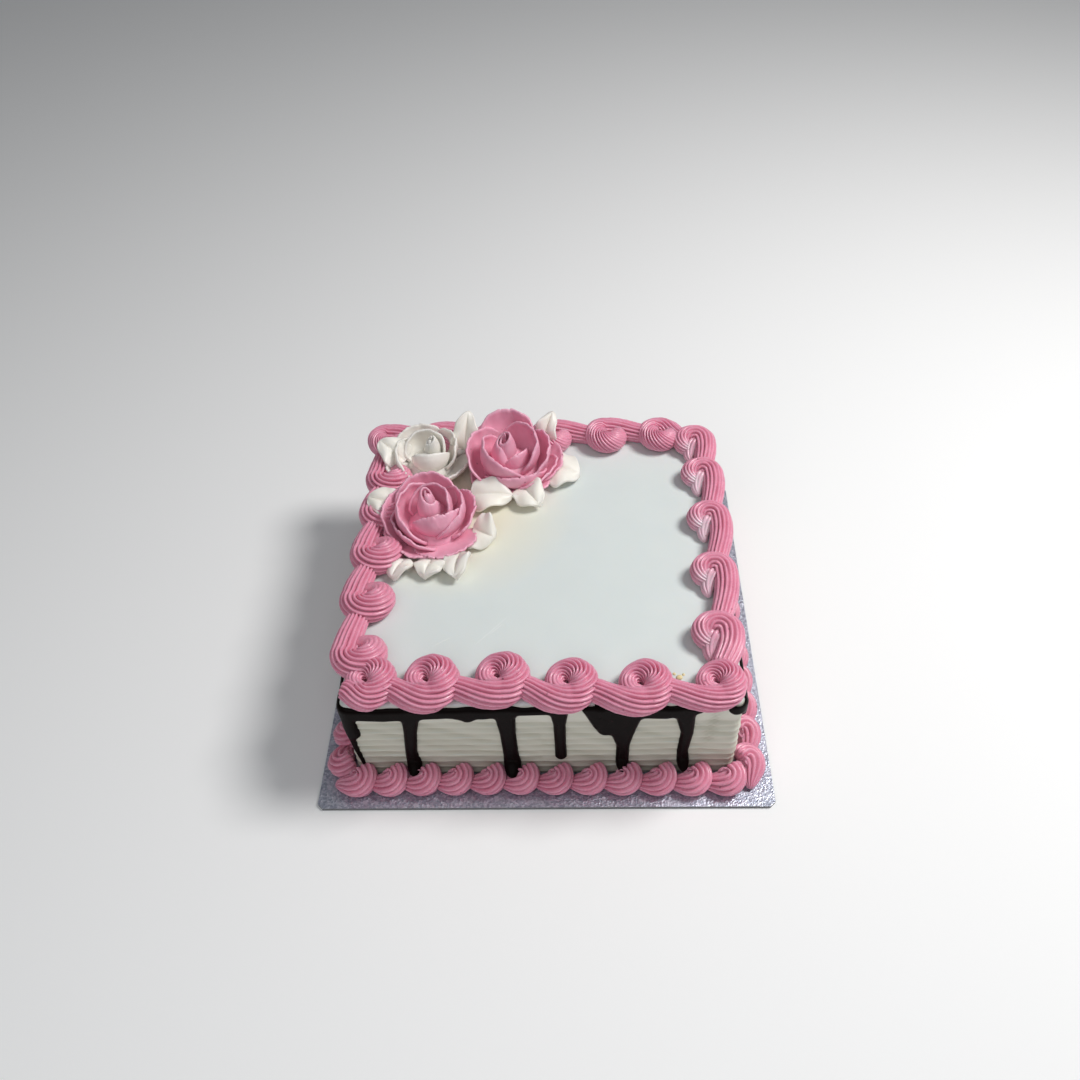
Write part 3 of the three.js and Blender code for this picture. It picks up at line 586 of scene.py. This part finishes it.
def comb_relief(s, z):
    """How far the combed wall lies behind its crests."""
    drift = COMB["drift"] * ripple(s, 1, (170, 71, 43))
    phase = (z - CARD_TOP + drift) / COMB["pitch"]
    groove = np.abs(np.cos(math.pi * phase)) ** COMB["crest"]
    fine = 0.5 + 0.5 * np.sin(2 * math.pi * phase * 3 + 1.3)
    strong = 1 + COMB["uneven"] * (ripple(s + 2 * z, 4, (61, 37, 19)) - 1)
    fade = ease((CAKE_TOP - COMB["smooth_top"] - z) / 6)
    combed = COMB["depth"] * strong * mix(groove, fine, COMB["fine"]) * fade
    smooth = COMB["smooth"] * (0.5 + 0.5 * ripple(s + 3 * z, 7, (61, 37)))
    away = s - CHATTER["at"] - CHATTER["lean"] * (z - CHATTER["middle"])
    skip = np.exp(-(away / CHATTER["wide"]) ** 2) * ease((z - CHATTER["above"]) / 6)
    chatter = CHATTER["depth"] * skip * np.abs(np.sin(math.pi * (z + s) / CHATTER["pitch"]))
    torn = np.exp(-((s - QUARTER / 2) / TORN["wide"]) ** 2) * ease((TORN["below"] - z) / 8)
    rough = TORN["depth"] * torn * np.abs(ripple(1.7 * s + z, 2, (7.1, 4.3, 2.9)))
    return -(combed + smooth + chatter + rough)


def ice_block(material):
    """The iced cake: combed walls, a rounded top edge, a smooth top and its crumbs."""
    around = ICE["around"]
    s = np.arange(around) * ROUND / around
    base, way = wall_spot(s)
    rings, behind = [], []
    for z in np.arange(CARD_TOP, CAKE_TOP - EDGE_ROUND, COMB["step"]):
        out = comb_relief(s, z)
        behind.append(-out / COMB["depth"])
        rings.append(level(base + way * out[:, None], z))
    for turn in np.radians(np.linspace(0, 90, ICE["edge_rings"])):
        out = comb_relief(s, CAKE_TOP) * math.cos(turn) - EDGE_ROUND * (1 - math.cos(turn))
        z = CAKE_TOP - EDGE_ROUND * (1 - math.sin(turn))
        rings.append(level(base + way * out[:, None], z))
    rim = rings[-1][:, :2]
    for share in np.linspace(1, 0.02, ICE["top_rings"])[1:]:
        flat = rim * share
        uneven = ripple(flat[:, 0], 2, (97, 61)) * ripple(flat[:, 1], 5, (83, 47))
        swell = ICE["swell"] * uneven - ICE["swell"]
        rings.append(level(flat, CAKE_TOP + swell * ease((1 - share) * 12)))
    points, faces = closed_tube(np.stack(rings))
    groove = np.full(len(points), 0.5)
    groove[:len(behind) * around] = np.clip(np.concatenate(behind), 0, 1)
    skin = Skin("groove", "crumb")
    skin.add(points, faces, groove=groove)
    for x, y, wide in CRUMBS:
        skin.add(*crumb(x, y, wide), crumb=1)
    skin.piece("iced_block", material, "white_buttercream", "cake")


def crumb(x, y, wide):
    """A small squashed lump of yellowish cream on the cake's top."""
    turn = np.linspace(0, 2 * math.pi, CRUMB["around"], endpoint=False)
    uneven = 1 + CRUMB["uneven"] * ripple(turn, x, (2 * math.pi, math.pi, 2.1))
    rise = np.radians(np.linspace(-20, 80, CRUMB["rings"]))
    profile = zip(wide * np.cos(rise), CAKE_TOP + CRUMB["squash"] * wide * np.sin(rise))
    return closed_tube(turned_rings(profile, CRUMB["around"], (x, y), uneven))


def run_depth(s, z, spots):
    """How deep a point lies inside a run of chocolate, below zero outside it."""
    best = np.full(np.broadcast(s, z).shape, -1e3)
    for (s0, z0, r0), (s1, z1, r1) in zip(spots, spots[1:]):
        ds, dz = s1 - s0, z1 - z0
        share = np.clip(((s - s0) * ds + (z - z0) * dz) / (ds * ds + dz * dz), 0, 1)
        away = np.hypot(s - s0 - share * ds, z - z0 - share * dz)
        best = np.maximum(best, mix(r0, r1, share) - away)
    return best


def melt(a, b, blend):
    """The deeper of two depths, with the corner between them filled as a thick liquid does."""
    share = np.clip(0.5 + 0.5 * (a - b) / blend, 0, 1)
    return mix(b, a, share) + blend * share * (1 - share)


def band_depth(s, z):
    """How deep a point lies inside the band along the top edge, whose lower edge is drawn on the front."""
    beyond = np.abs(s) - QUARTER / 2
    sides = BAND["low"] + BAND["low_wave"] * ripple(s, 9, (57, 31, 23))
    low = np.where(beyond < 0, np.interp(s, *zip(*FRONT_BAND_LOW)), sides)
    low = mix(low, sides, ease((beyond + 4) / 8))
    top = BAND["top"] + BAND["top_wave"] * ripple(s, 3, (41, 19, 11))
    return np.minimum(z - low, top - z)


def runs_near(s):
    """Every run of chocolate, with how far along its own side the places s lie."""
    for number, side in enumerate(SIDE_ORDER):
        near = (s - number * QUARTER + ROUND / 2) % ROUND - ROUND / 2
        for reach, spots in RUNS[side]:
            yield near, reach, spots


def chocolate_depth(s, z):
    depth = band_depth(s, z)
    for near, _, spots in runs_near(s):
        depth = melt(depth, run_depth(near, z, spots), BAND["melt"])
    return depth


def chocolate_out(s, z, depth):
    """How far the chocolate stands out from the wall."""
    share = np.clip(depth / BAND["round"], 0, 1)
    out = BAND["thick"] * (1 - (1 - share) ** BAND["swollen"])
    for near, reach, spots in runs_near(s):
        at, low, half = spots[-1]
        drop = np.sqrt(np.clip(1 - (1 - depth / half) ** 2, 0, 1)) * (np.abs(near - at) < 2 * half)
        out = out + reach * drop * ease((low + 6 - z) / 9)
    return out


def pour_chocolate(material):
    """The band and its runs as one closed skin, from a little inside the wall to the chocolate's face."""
    step = ROUND / POUR["across"]
    heights = np.arange(POUR["from"], CAKE_TOP + 0.1, POUR["cell"])
    s = (np.arange(POUR["across"]) * step - ROUND / 2)[:, None]
    spots, faces, rim = outlined_cells(chocolate_depth(s, heights[None, :]), step, POUR["cell"])
    s, z = spots[:, 0] - ROUND / 2, spots[:, 1] + heights[0]
    base, way = wall_spot(s)
    out = chocolate_out(s, z, np.maximum(spots[:, 2], 0))
    front = np.column_stack([base + way * out[:, None], z])
    back = np.column_stack([base - way * BAND["sunk"], z])
    count = len(front)
    faces = faces + [[i + count for i in face[::-1]] for face in faces]
    faces += [[b, a, a + count, b + count] for a, b in rim]
    skin = Skin()
    skin.add(np.concatenate([front, back]), faces)
    skin.piece("chocolate_drip", material, "dark_chocolate", "cake")


def outlined_cells(depth, step, cell):
    """Cells of a grid, closed round its first axis, cut off where the depth falls below zero.

    Returns the spots used (place, height, depth), the faces over them, and the pairs along the outline.
    """
    across = len(depth)
    spots, numbers = [], {}

    def spot(a, b):
        """The number of a corner given twice, or of the place between two where the depth is nought."""
        ends = (a[0] % across, a[1]), (b[0] % across, b[1])
        key = tuple(sorted(ends))
        if key not in numbers:
            near, far = depth[ends[0]], depth[ends[1]]
            share = 0.0 if a == b else near / (near - far)
            numbers[key] = len(spots)
            i, j = mix(a[0], b[0], share), mix(a[1], b[1], share)
            spots.append((i * step, j * cell, mix(near, far, share)))
        return numbers[key]

    wet = depth > 0
    faces, rim = [], []
    for i in range(across):
        k = (i + 1) % across
        busy = np.nonzero(wet[i, :-1] | wet[i, 1:] | wet[k, :-1] | wet[k, 1:])[0]
        for j in busy:
            ring = [(i, j), (i + 1, j), (i + 1, j + 1), (i, j + 1)]
            inside = [wet[a % across, b] for a, b in ring]
            face = []
            for n in range(4):
                here, there = ring[n], ring[(n + 1) % 4]
                if inside[n]:
                    face.append(spot(here, here))
                if inside[n] != inside[(n + 1) % 4]:
                    face.append(spot(here, there))
            faces.append(face)
            for n in range(4):
                m = (n + 1) % 4
                if not inside[n] or inside[m]:
                    continue
                leaving = spot(ring[n], ring[m])
                while inside[m] or not inside[(m + 1) % 4]:
                    m = (m + 1) % 4
                rim.append((leaving, spot(ring[m], ring[(m + 1) % 4])))
    return np.array(spots), faces, rim


# Roses and leaves

def petal_rings(rose, number):
    """Rings across one petal: a curved plate that bellies out as it rises and ends in a thin torn rim."""
    middle, span, rim_radius, rim_height, (bend_out, bend_up), torn = rose["petals"][number]
    own = rose["seed"] * 7 + number * 3
    foot_share, foot_height = PETAL["foot"]
    foot_radius = rim_radius * foot_share
    u = np.linspace(-1, 1, PETAL["across"])
    v = np.linspace(0, 1, PETAL["up"]) ** 0.8
    around = np.radians(span) * u * rim_radius
    tear = PETAL["tear"] * torn * np.maximum(ripple(around, own, (5.3, 2.9, 1.7)) - 0.1, 0)
    tear = tear + PETAL["nick"] * torn * np.abs(ripple(around, own + 5, (2.1, 1.3, 0.9)))
    side = np.hypot(rim_radius - foot_radius, rim_height - foot_height)
    top = (1 - PETAL["drop"] * np.abs(u) ** 3) - tear / side
    share = v[None, :] * top[:, None]
    path_r = bend(foot_radius, rim_radius * bend_out, rim_radius, share)
    path_z = bend(foot_height, rim_height * bend_up, rim_height, share)
    slope_r, slope_z = np.gradient(path_r, axis=1), np.gradient(path_z, axis=1)
    length = np.hypot(slope_r, slope_z)
    out_r, out_z = slope_z / length, -slope_r / length
    loose = PETAL["wave"] * share ** 3
    ripple_out = loose * ripple(around, own + 2, (23, 13, 9))[:, None]
    lip = PETAL["lip"] * torn * np.maximum(share - PETAL["lip_from"], 0)
    lip = lip * ripple(around, own + 4, (7, 4.3))[:, None]
    drawn = PETAL["drawn"] * ripple(22 * share + 0.04 * around[:, None], own + 6, (3.1, 1.9, 1.2))
    thick = mix(*PETAL["thick"], share ** 0.6) / 2
    angle = np.radians(middle + span * u)[:, None]
    sheets = []
    for face in (1, -1):
        off = ripple_out + lip + drawn + face * thick
        radius = path_r + PETAL["tuck"] * u[:, None] + off * out_r
        height = path_z + off * out_z
        sheets.append(np.stack([radius * np.cos(angle), radius * np.sin(angle), height], -1))
    return thin_sheet(sheets, share, PETAL["rim"])


def bend(first, middle, last, share):
    """A line from the first value to the last, drawn towards the middle one on its way."""
    return first * (1 - share) ** 2 + middle * 2 * share * (1 - share) + last * share ** 2


def bud_rings(rose):
    """A rolled bud: a sheet of cream wound up round the middle, closing in towards its top."""
    bud = rose["bud"]
    off_x, off_y = bud["off"]
    u = np.linspace(0, 1, BUD["around"])
    v = np.linspace(0, 1, BUD["up"])
    angle = (2 * math.pi * bud["turns"] * u + math.radians(bud["turn"]))[:, None]
    belly = 1 + BUD["belly"] * np.sin(math.pi * mix(0.1, 1, v))[None, :]
    radius = mix(*bud["radius"], u)[:, None] * belly
    slant = 1 + bud["slope"] * np.cos(angle - math.radians(bud["turn"]))
    tear = BUD["tear"] * np.abs(ripple(angle * radius[:, -1:], rose["seed"], (3.1, 1.7)))
    top = bud["height"] * slant * mix(1.0, 0.94, u)[:, None] - tear
    height = mix(BUD["foot"] * bud["height"], top, v[None, :])
    round_off = np.minimum(np.minimum(u, 1 - u) * 14, 1)[:, None] ** 0.5
    height = mix(height[:, :1], height, 0.35 + 0.65 * round_off)
    sheets = []
    for face in (1, -1):
        far = radius + face * mix(*BUD["thick"], v)[None, :]
        sheets.append(np.stack([far * np.cos(angle) + off_x, far * np.sin(angle) + off_y, height], -1))
    return thin_sheet(sheets, np.broadcast_to(v, (len(u), len(v))), BUD["rim"])


def core_rings(rose):
    """The cream inside the rolled bud, which closes it to a small fold at the top."""
    bud = rose["bud"]
    share = np.linspace(0, 1, 12)
    wide = bud["radius"][1] * np.interp(share, *zip(*BUD_CORE))
    tall = bud["height"] * mix(BUD["foot"], bud["fill"], share)
    return turned_rings(zip(wide, tall), 40, bud["off"])


def heart_rings(rose):
    """The cone of cream that the petals stand on."""
    return turned_rings([(out * half_width(rose), up * rose["bud"]["height"]) for out, up in ROSE_HEART], 48)


def half_width(rose):
    return max(petal[2] for petal in rose["petals"])


def settle(points, rose):
    """Turns a rose's own places into places on the cake. The flower faces a little forwards."""
    height = points[:, 2] * (1 + LEAN * points[:, 1] / half_width(rose))
    x, y = rose["place"]
    return np.column_stack([points[:, 0] + x, points[:, 1] + y, TOP_FLOOR + np.maximum(height, -0.2)])


def pipe_rose(name, material, slot):
    rose = ROSES[name]
    skin = Skin("rim")
    for rings in (heart_rings(rose), core_rings(rose)):
        points, faces = closed_tube(rings)
        skin.add(settle(points, rose), faces)
    parts = [bud_rings(rose)] + [petal_rings(rose, number) for number in range(len(rose["petals"]))]
    for rings, rim in parts:
        points, faces = closed_tube(rings)
        skin.add(settle(points, rose), faces, rim=with_tips(rim, 0.5, 0.5))
    skin.piece("piped_" + name, material, slot, name)


def pipe_leaf(number, material):
    """A leaf piped in one stroke: broad, hollow along its middle, with its edges risen and one higher."""
    foot, turn, lift, roll, length, width, cup, tip = LEAVES[number]
    u = np.linspace(0, 1, LEAF["along"])[:, None]
    s = np.linspace(-1, 1, LEAF["across"])[None, :]
    rise, off = np.sin(math.pi * u), np.abs(s)
    half = width / 2 * np.sqrt(np.clip(1 - u ** tip, 0.001, 1)) * (0.82 + 0.18 * rise)
    half = half * (0.3 + 0.7 * np.sqrt(1 - (1 - np.clip(u / LEAF["foot"], 0, 1)) ** 2))
    arch = length * LEAF["arch"] * rise
    hollow = cup * off ** 1.7 * np.sin(math.pi * (0.1 + 0.9 * u)) ** 0.5
    crease = -LEAF["crease"] * np.exp(-off / LEAF["fold"]) * rise
    belly = LEAF["belly"] * np.sin(math.pi * off) * rise
    wave = LEAF["wave"] * np.sin(8.5 * u + 2.4 * s + 2.1 * number) * off ** 1.5
    middle = arch + hollow + crease + belly + wave
    thick = mix(*LEAF["thick"], off ** 1.5) / 2 * (1 - LEAF["thinner"] * u ** 4)
    x = np.broadcast_to(u * length, middle.shape)
    y = s * half * (1 + LEAF["ruffle"] * np.sin(11 * u + 1.4 * s + 2.1 * number))
    upper, under = (np.stack([x, y, middle + face * thick], -1) for face in (1, -1))
    edge_left = (upper[:, :1] + under[:, :1]) / 2 - (0, 0.5, 0)
    edge_right = (upper[:, -1:] + under[:, -1:]) / 2 + (0, 0.5, 0)
    rings = np.concatenate([upper, edge_right, under[:, ::-1], edge_left], axis=1)
    points, faces = closed_tube(rings)
    turned = Matrix.Rotation(math.radians(turn), 3, "Z") @ Matrix.Rotation(math.radians(-lift), 3, "Y")
    turned = turned @ Matrix.Rotation(math.radians(roll), 3, "X")
    points = points @ np.array(turned).T + np.array([foot[0], foot[1], TOP_FLOOR + foot[2]])
    points[:, 2] = np.maximum(points[:, 2], TOP_FLOOR - 0.2)
    skin = Skin()
    skin.add(points, faces)
    node = "leaf_%02d" % (number + 1)
    skin.piece("piped_" + node, material, "white_buttercream", node)


# Shader groups that more than one finish uses

def new_group(name, inputs, outputs):
    """An empty shader group. An input is a place where its value has three numbers, and else a number."""
    group = bpy.data.node_groups.new(name, "ShaderNodeTree")
    for label, value in inputs.items():
        kind = "NodeSocketVector" if isinstance(value, tuple) else "NodeSocketFloat"
        socket = group.interface.new_socket(name=label, in_out="INPUT", socket_type=kind)
        socket.default_value = value
    for label in outputs:
        group.interface.new_socket(name=label, in_out="OUTPUT", socket_type="NodeSocketFloat")
    return group, Wiring(group)


class Wiring:
    """Adds nodes to a tree and links them by their sockets' names."""

    def __init__(self, tree):
        self.tree = tree

    def node(self, kind, settings=None, **links):
        made = self.tree.nodes.new("ShaderNode" + kind)
        for key, value in (settings or {}).items():
            setattr(made, key, value)
        for key, value in links.items():
            self.feed(made, key, value)
        return made

    def group_node(self, group, **links):
        return self.node("Group", {"node_tree": group}, **links)

    def feed(self, node, key, value):
        """Links or sets one socket, given by its name, or by i and its number."""
        numbered = key[0] == "i" and key[1:].isdigit()
        socket = node.inputs[int(key[1:]) if numbered else key.replace("_", " ")]
        if isinstance(value, bpy.types.NodeSocket):
            self.tree.links.new(value, socket)
        else:
            socket.default_value = value

    def math(self, operation, a, b=0.0):
        return self.node("Math", {"operation": operation}, i0=a, i1=b).outputs[0]

    def vector(self, operation, a, b, output="Value"):
        return self.node("VectorMath", {"operation": operation}, i0=a, i1=b).outputs[output]

    def blend(self, a, b, share):
        made = self.node("Mix", {"data_type": "RGBA"}, i0=share)
        self.feed(made, "i6", a)
        self.feed(made, "i7", b)
        return made.outputs[2]

    def span(self, value, low, high, new_low=0.0, new_high=1.0):
        return self.node("MapRange", i0=value, i1=low, i2=high, i3=new_low, i4=new_high).outputs[0]

    def place(self):
        return self.node("TexCoord").outputs["Object"]

    def facing_up(self):
        return self.node("SeparateXYZ", Vector=self.node("NewGeometry").outputs["Normal"]).outputs["Z"]

    def mark(self, name):
        return self.node("Attribute", {"attribute_name": name}).outputs["Fac"]

    def dress(self, shader, colour, gloss, rough, height, strength, distance):
        """Feeds a shader its colour, its roughness over the gloss's range, and its bumps."""
        bump = self.node("Bump", Strength=strength, Distance=distance, Height=height)
        self.feed(shader, "Base Color", colour)
        self.feed(shader, "Roughness", self.span(gloss, 0, 1, *rough))
        self.feed(shader, "Normal", bump.outputs[0])


def grain_group():
    """Fine unevenness of whipped cream: soft mottling, a silky sheen that varies, and tiny bubbles."""
    group, wires = new_group(
        "cream_grain", {"Place": (0, 0, 0), "Mottle size": 120.0, "Bubble size": 260.0, "Bubbles": 0.1},
        ("Mottle", "Gloss", "Height", "Pits"))
    given = group.nodes.new("NodeGroupInput").outputs
    place = given["Place"]
    mottle = wires.node("TexNoise", Vector=place, Scale=given["Mottle size"], Detail=4.0)
    silk = wires.node("TexNoise", Vector=place, Scale=900.0, Detail=3.0, Roughness=0.6)
    cells = wires.node("TexVoronoi", Vector=place, Scale=given["Bubble size"])
    chance = wires.node("SeparateColor", Color=cells.outputs["Color"])
    chosen = wires.math("LESS_THAN", chance.outputs[0], given["Bubbles"])
    pit = wires.span(cells.outputs["Distance"], 0.0, 0.22, 1.0, 0.0)
    pits = wires.math("MULTIPLY", pit, chosen)
    soft = wires.math("MULTIPLY", mottle.outputs["Fac"], 0.35)
    fine = wires.math("MULTIPLY", silk.outputs["Fac"], 0.18)
    height = wires.math("SUBTRACT", wires.math("ADD", soft, fine), pits)
    gloss = wires.span(silk.outputs["Fac"], 0.3, 0.7)
    results = {"Mottle": mottle.outputs["Fac"], "Gloss": gloss, "Height": height, "Pits": pits}
    out = group.nodes.new("NodeGroupOutput")
    for label, value in results.items():
        wires.feed(out, label, value)
    return group


def new_finish(name):
    material = bpy.data.materials.new(name)
    material.use_nodes = True
    tree = material.node_tree
    return material, Wiring(tree), tree.nodes["Principled BSDF"]


def let_light_in(shader, weight, radius, scale):
    shader.inputs["Subsurface Weight"].default_value = weight
    shader.inputs["Subsurface Radius"].default_value = radius
    shader.inputs["Subsurface Scale"].default_value = scale


def cream_finish(name, colour, deep, pale, roughness, grain, softness, bubbles):
    """Buttercream: colour on the crests, darker in the grooves as painted shade, paler where white cream is
    dragged in.
    """
    material, wires, cream = new_finish(name)
    fine = wires.group_node(grain, Place=wires.place(), Bubbles=bubbles).outputs
    mottled = wires.blend((*colour, 1), (*deep, 1), wires.span(fine["Mottle"], 0.35, 0.75, 0, 0.35))
    # Painted shade: the grooves between the ridges are darkened towards the deep colour.
    groove_shaded = wires.blend(mottled, (*deep, 1), wires.math("MULTIPLY", wires.mark("groove"), 0.55))
    streaked = wires.blend(groove_shaded, (*pale, 1), wires.mark("pale"))
    # Painted highlight: the last of each petal's rim is made a little paler.
    rim_highlighted = wires.blend(streaked, (*pale, 1), wires.span(wires.mark("rim"), 0.9, 1.0, 0.0, 0.08))
    # Painted shade: the tiny bubble pits are darkened.
    pit_shaded = wires.blend(rim_highlighted, (deep[0] * 0.35, deep[1] * 0.3, deep[2] * 0.3, 1), fine["Pits"])
    rough = (roughness - 0.07, roughness + 0.1)
    wires.dress(cream, pit_shaded, fine["Gloss"], rough, fine["Height"], 0.25, 0.0004)
    let_light_in(cream, softness, [channel / colour[0] for channel in colour], 0.005)
    return material


def scratch(wires, place, start, end):
    """A mask of one fine line over the cake's top, fading towards both its ends."""
    start, end = (Vector((*spot, CAKE_TOP)) for spot in (start, end))
    way = (end - start) * MM
    from_middle = wires.vector("SUBTRACT", place, (end + start) * MM / 2, "Vector")
    across = Vector((-way.y, way.x, 0)).normalized()
    off, along = (
        wires.math("ABSOLUTE", wires.vector("DOT_PRODUCT", from_middle, line))
        for line in (across, way.normalized()))
    thin = wires.span(off, 0.0, SCRATCH_HALF * MM, 1.0, 0.0)
    return wires.math("MULTIPLY", thin, wires.span(along, 0.2 * way.length, 0.5 * way.length, 1.0, 0.0))


def icing_finish(grain):
    """Smooth white icing: faint mottling, small pits with painted shade, a warm tinge near the roses, and on
    the walls a warmer, darker painted shade with painted highlights on the comb's crests and painted shade
    in its grooves.
    """
    material, wires, icing = new_finish("smooth_icing")
    place = wires.place()
    fine = wires.group_node(grain, Place=place, Mottle_size=45.0, Bubble_size=170.0, Bubbles=0.012).outputs
    mottled = wires.blend((0.735, 0.785, 0.77, 1), (0.69, 0.745, 0.735, 1), fine["Mottle"])
    away = wires.vector("DISTANCE", place, ROSES_MIDDLE)
    warmed = wires.blend(mottled, (0.87, 0.81, 0.62, 1), wires.span(away, 0.03, 0.075, 0.7, 0.0))
    # Painted light: on the combed walls the crests get a painted highlight and the grooves painted shade.
    combed = wires.blend((0.80, 0.77, 0.66, 1), (0.49, 0.455, 0.345, 1), wires.mark("groove"))
    # Painted shade: the walls, which face sideways, take these warmer, darker colours instead of the top's.
    walls_shaded = wires.blend(warmed, combed, wires.span(wires.facing_up(), 0.35, 0.8, 0.85, 0.0))
    crumbed = wires.blend(walls_shaded, (0.80, 0.68, 0.38, 1), wires.mark("crumb"))
    # Painted shade: the small pits in the icing are darkened to a cool grey.
    pit_shaded = wires.blend(crumbed, (0.45, 0.5, 0.52, 1), wires.math("MULTIPLY", fine["Pits"], 0.75))
    marks = 0.0
    for start, end in SCRATCHES:
        marks = wires.math("MAXIMUM", marks, scratch(wires, place, start, end))
    scratched = wires.blend(pit_shaded, (0.88, 0.91, 0.90, 1), wires.math("MULTIPLY", marks, 0.5))
    height = wires.math("SUBTRACT", fine["Height"], marks)
    wires.dress(icing, scratched, fine["Gloss"], (0.4, 0.56), height, 0.2, 0.0005)
    let_light_in(icing, 0.15, (1.0, 0.8, 0.6), 0.002)
    return material


def chocolate_finish(grain):
    """Set chocolate: nearly black, a little browner in soft mottles, with a soft gloss."""
    material, wires, chocolate = new_finish("dark_chocolate")
    fine = wires.group_node(grain, Place=wires.place(), Mottle_size=90.0, Bubbles=0.02).outputs
    colour = wires.blend((0.0035, 0.0022, 0.0022, 1), (0.007, 0.004, 0.0035, 1), fine["Mottle"])
    wires.dress(chocolate, colour, fine["Gloss"], (0.26, 0.42), fine["Height"], 0.25, 0.0005)
    chocolate.inputs["Specular IOR Level"].default_value = 0.04
    return material


def foil_finish():
    """Silver foil over card: a fine crushed sparkle on the faces, plain grey board at the cut edge."""
    material, wires, foil = new_finish("silver_foil")
    place = wires.place()
    flakes = wires.node("TexVoronoi", Vector=place, Scale=900.0)
    dust = wires.node("TexNoise", Vector=place, Scale=1500.0, Detail=2.0)
    tone = wires.node("SeparateColor", Color=flakes.outputs["Color"])
    silver = wires.blend((0.34, 0.37, 0.46, 1), (0.66, 0.68, 0.77, 1), tone.outputs[0])
    top = wires.math("GREATER_THAN", wires.math("ABSOLUTE", wires.facing_up()), 0.5)
    colour = wires.blend((0.16, 0.16, 0.17, 1), silver, top)
    height = wires.math("ADD", flakes.outputs["Distance"], dust.outputs["Fac"])
    wires.dress(foil, colour, tone.outputs[1], (0.28, 0.6), height, 0.55, 0.0004)
    wires.feed(foil, "Metallic", wires.math("MULTIPLY", top, 0.75))
    return material


# Stage

def make_camera():
    """The camera in front of the cake and above it: turned, tipped down, then rolled."""
    turn, down, roll = (math.radians(CAMERA[key]) for key in ("turn", "down", "roll"))
    turned = Matrix.Rotation(turn, 4, "Z") @ Matrix.Rotation(math.pi / 2 - down, 4, "X")
    lens = bpy.data.cameras.new("camera")
    lens.lens = CAMERA["lens"]
    lens.sensor_width = 36
    camera = bpy.data.objects.new("camera", lens)
    placed = Matrix.Translation(Vector(CAMERA["place"]) * MM)
    camera.matrix_world = placed @ turned @ Matrix.Rotation(roll, 4, "Z")
    bpy.context.scene.collection.objects.link(camera)
    bpy.context.scene.camera = camera


def make_light(name, place, size, power, colour):
    lamp = bpy.data.lights.new(name, "AREA")
    lamp.shape = "DISK"
    lamp.size = size
    lamp.energy = power
    lamp.color = colour
    light = bpy.data.objects.new(name, lamp)
    light.location = place
    light.rotation_euler = (Vector(LIT_SPOT) - Vector(place)).to_track_quat("-Z", "Y").to_euler()
    bpy.context.scene.collection.objects.link(light)


def make_floor():
    mesh = bpy.data.meshes.new("floor")
    corners = [(x * FLOOR_HALF, y * FLOOR_HALF, 0) for x, y in ((-1, -1), (1, -1), (1, 1), (-1, 1))]
    mesh.from_pydata(corners, [], [(0, 1, 2, 3)])
    floor = bpy.data.objects.new("floor", mesh)
    bpy.context.scene.collection.objects.link(floor)
    paint, _, shader = new_finish("pale_floor")
    shader.inputs["Base Color"].default_value = (0.95, 0.95, 0.95, 1)
    shader.inputs["Roughness"].default_value = 0.9
    mesh.materials.append(paint)


def light_studio():
    world = bpy.data.worlds.new("studio")
    world.use_nodes = True
    sky = world.node_tree.nodes["Background"].inputs
    sky["Color"].default_value = (0.93, 0.96, 1.0, 1)
    sky["Strength"].default_value = 0.17
    bpy.context.scene.world = world
    make_light("window", (0.70, 0.10, 1.03), 0.42, 11.2, (1.0, 0.99, 0.975))
    make_light("ceiling", (-0.15, -0.7, 0.88), 1.0, 2.8, (0.95, 0.98, 1.0))
    bpy.context.scene.view_settings.view_transform = "Standard"


# Putting it together

make_camera()
make_floor()
light_studio()

grain = grain_group()
# Each cream's second colour serves its random mottling and the painted shade in grooves and pits; its third
# serves dragged white cream and the painted highlight on petal rims.
pink = cream_finish(
    "pink_cream", (0.82, 0.345, 0.465), (0.54, 0.13, 0.225), (0.90, 0.74, 0.81), 0.28, grain, 0.3, 0.08)
petal_pink = cream_finish(
    "petal_cream", (0.89, 0.43, 0.56), (0.66, 0.19, 0.30), (0.93, 0.70, 0.80), 0.36, grain, 0.18, 0.02)
white = cream_finish(
    "white_cream", (0.91, 0.88, 0.81), (0.80, 0.74, 0.62), (0.93, 0.92, 0.88), 0.42, grain, 0.5, 0.0)

ice_block(icing_finish(grain))
pour_chocolate(chocolate_finish(grain))
for side in SIDE_ORDER:
    pipe_foot_border(side, pink)
for head in scroll_heads():
    pipe_scroll(head, pink)
pipe_rose("rose_front", petal_pink, "pink_buttercream")
pipe_rose("rose_back", petal_pink, "pink_buttercream")
pipe_rose("rose_white", white, "white_buttercream")
for number in range(len(LEAVES)):
    pipe_leaf(number, white)

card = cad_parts["card"]
card.data.materials.clear()
card.data.materials.append(foil_finish())
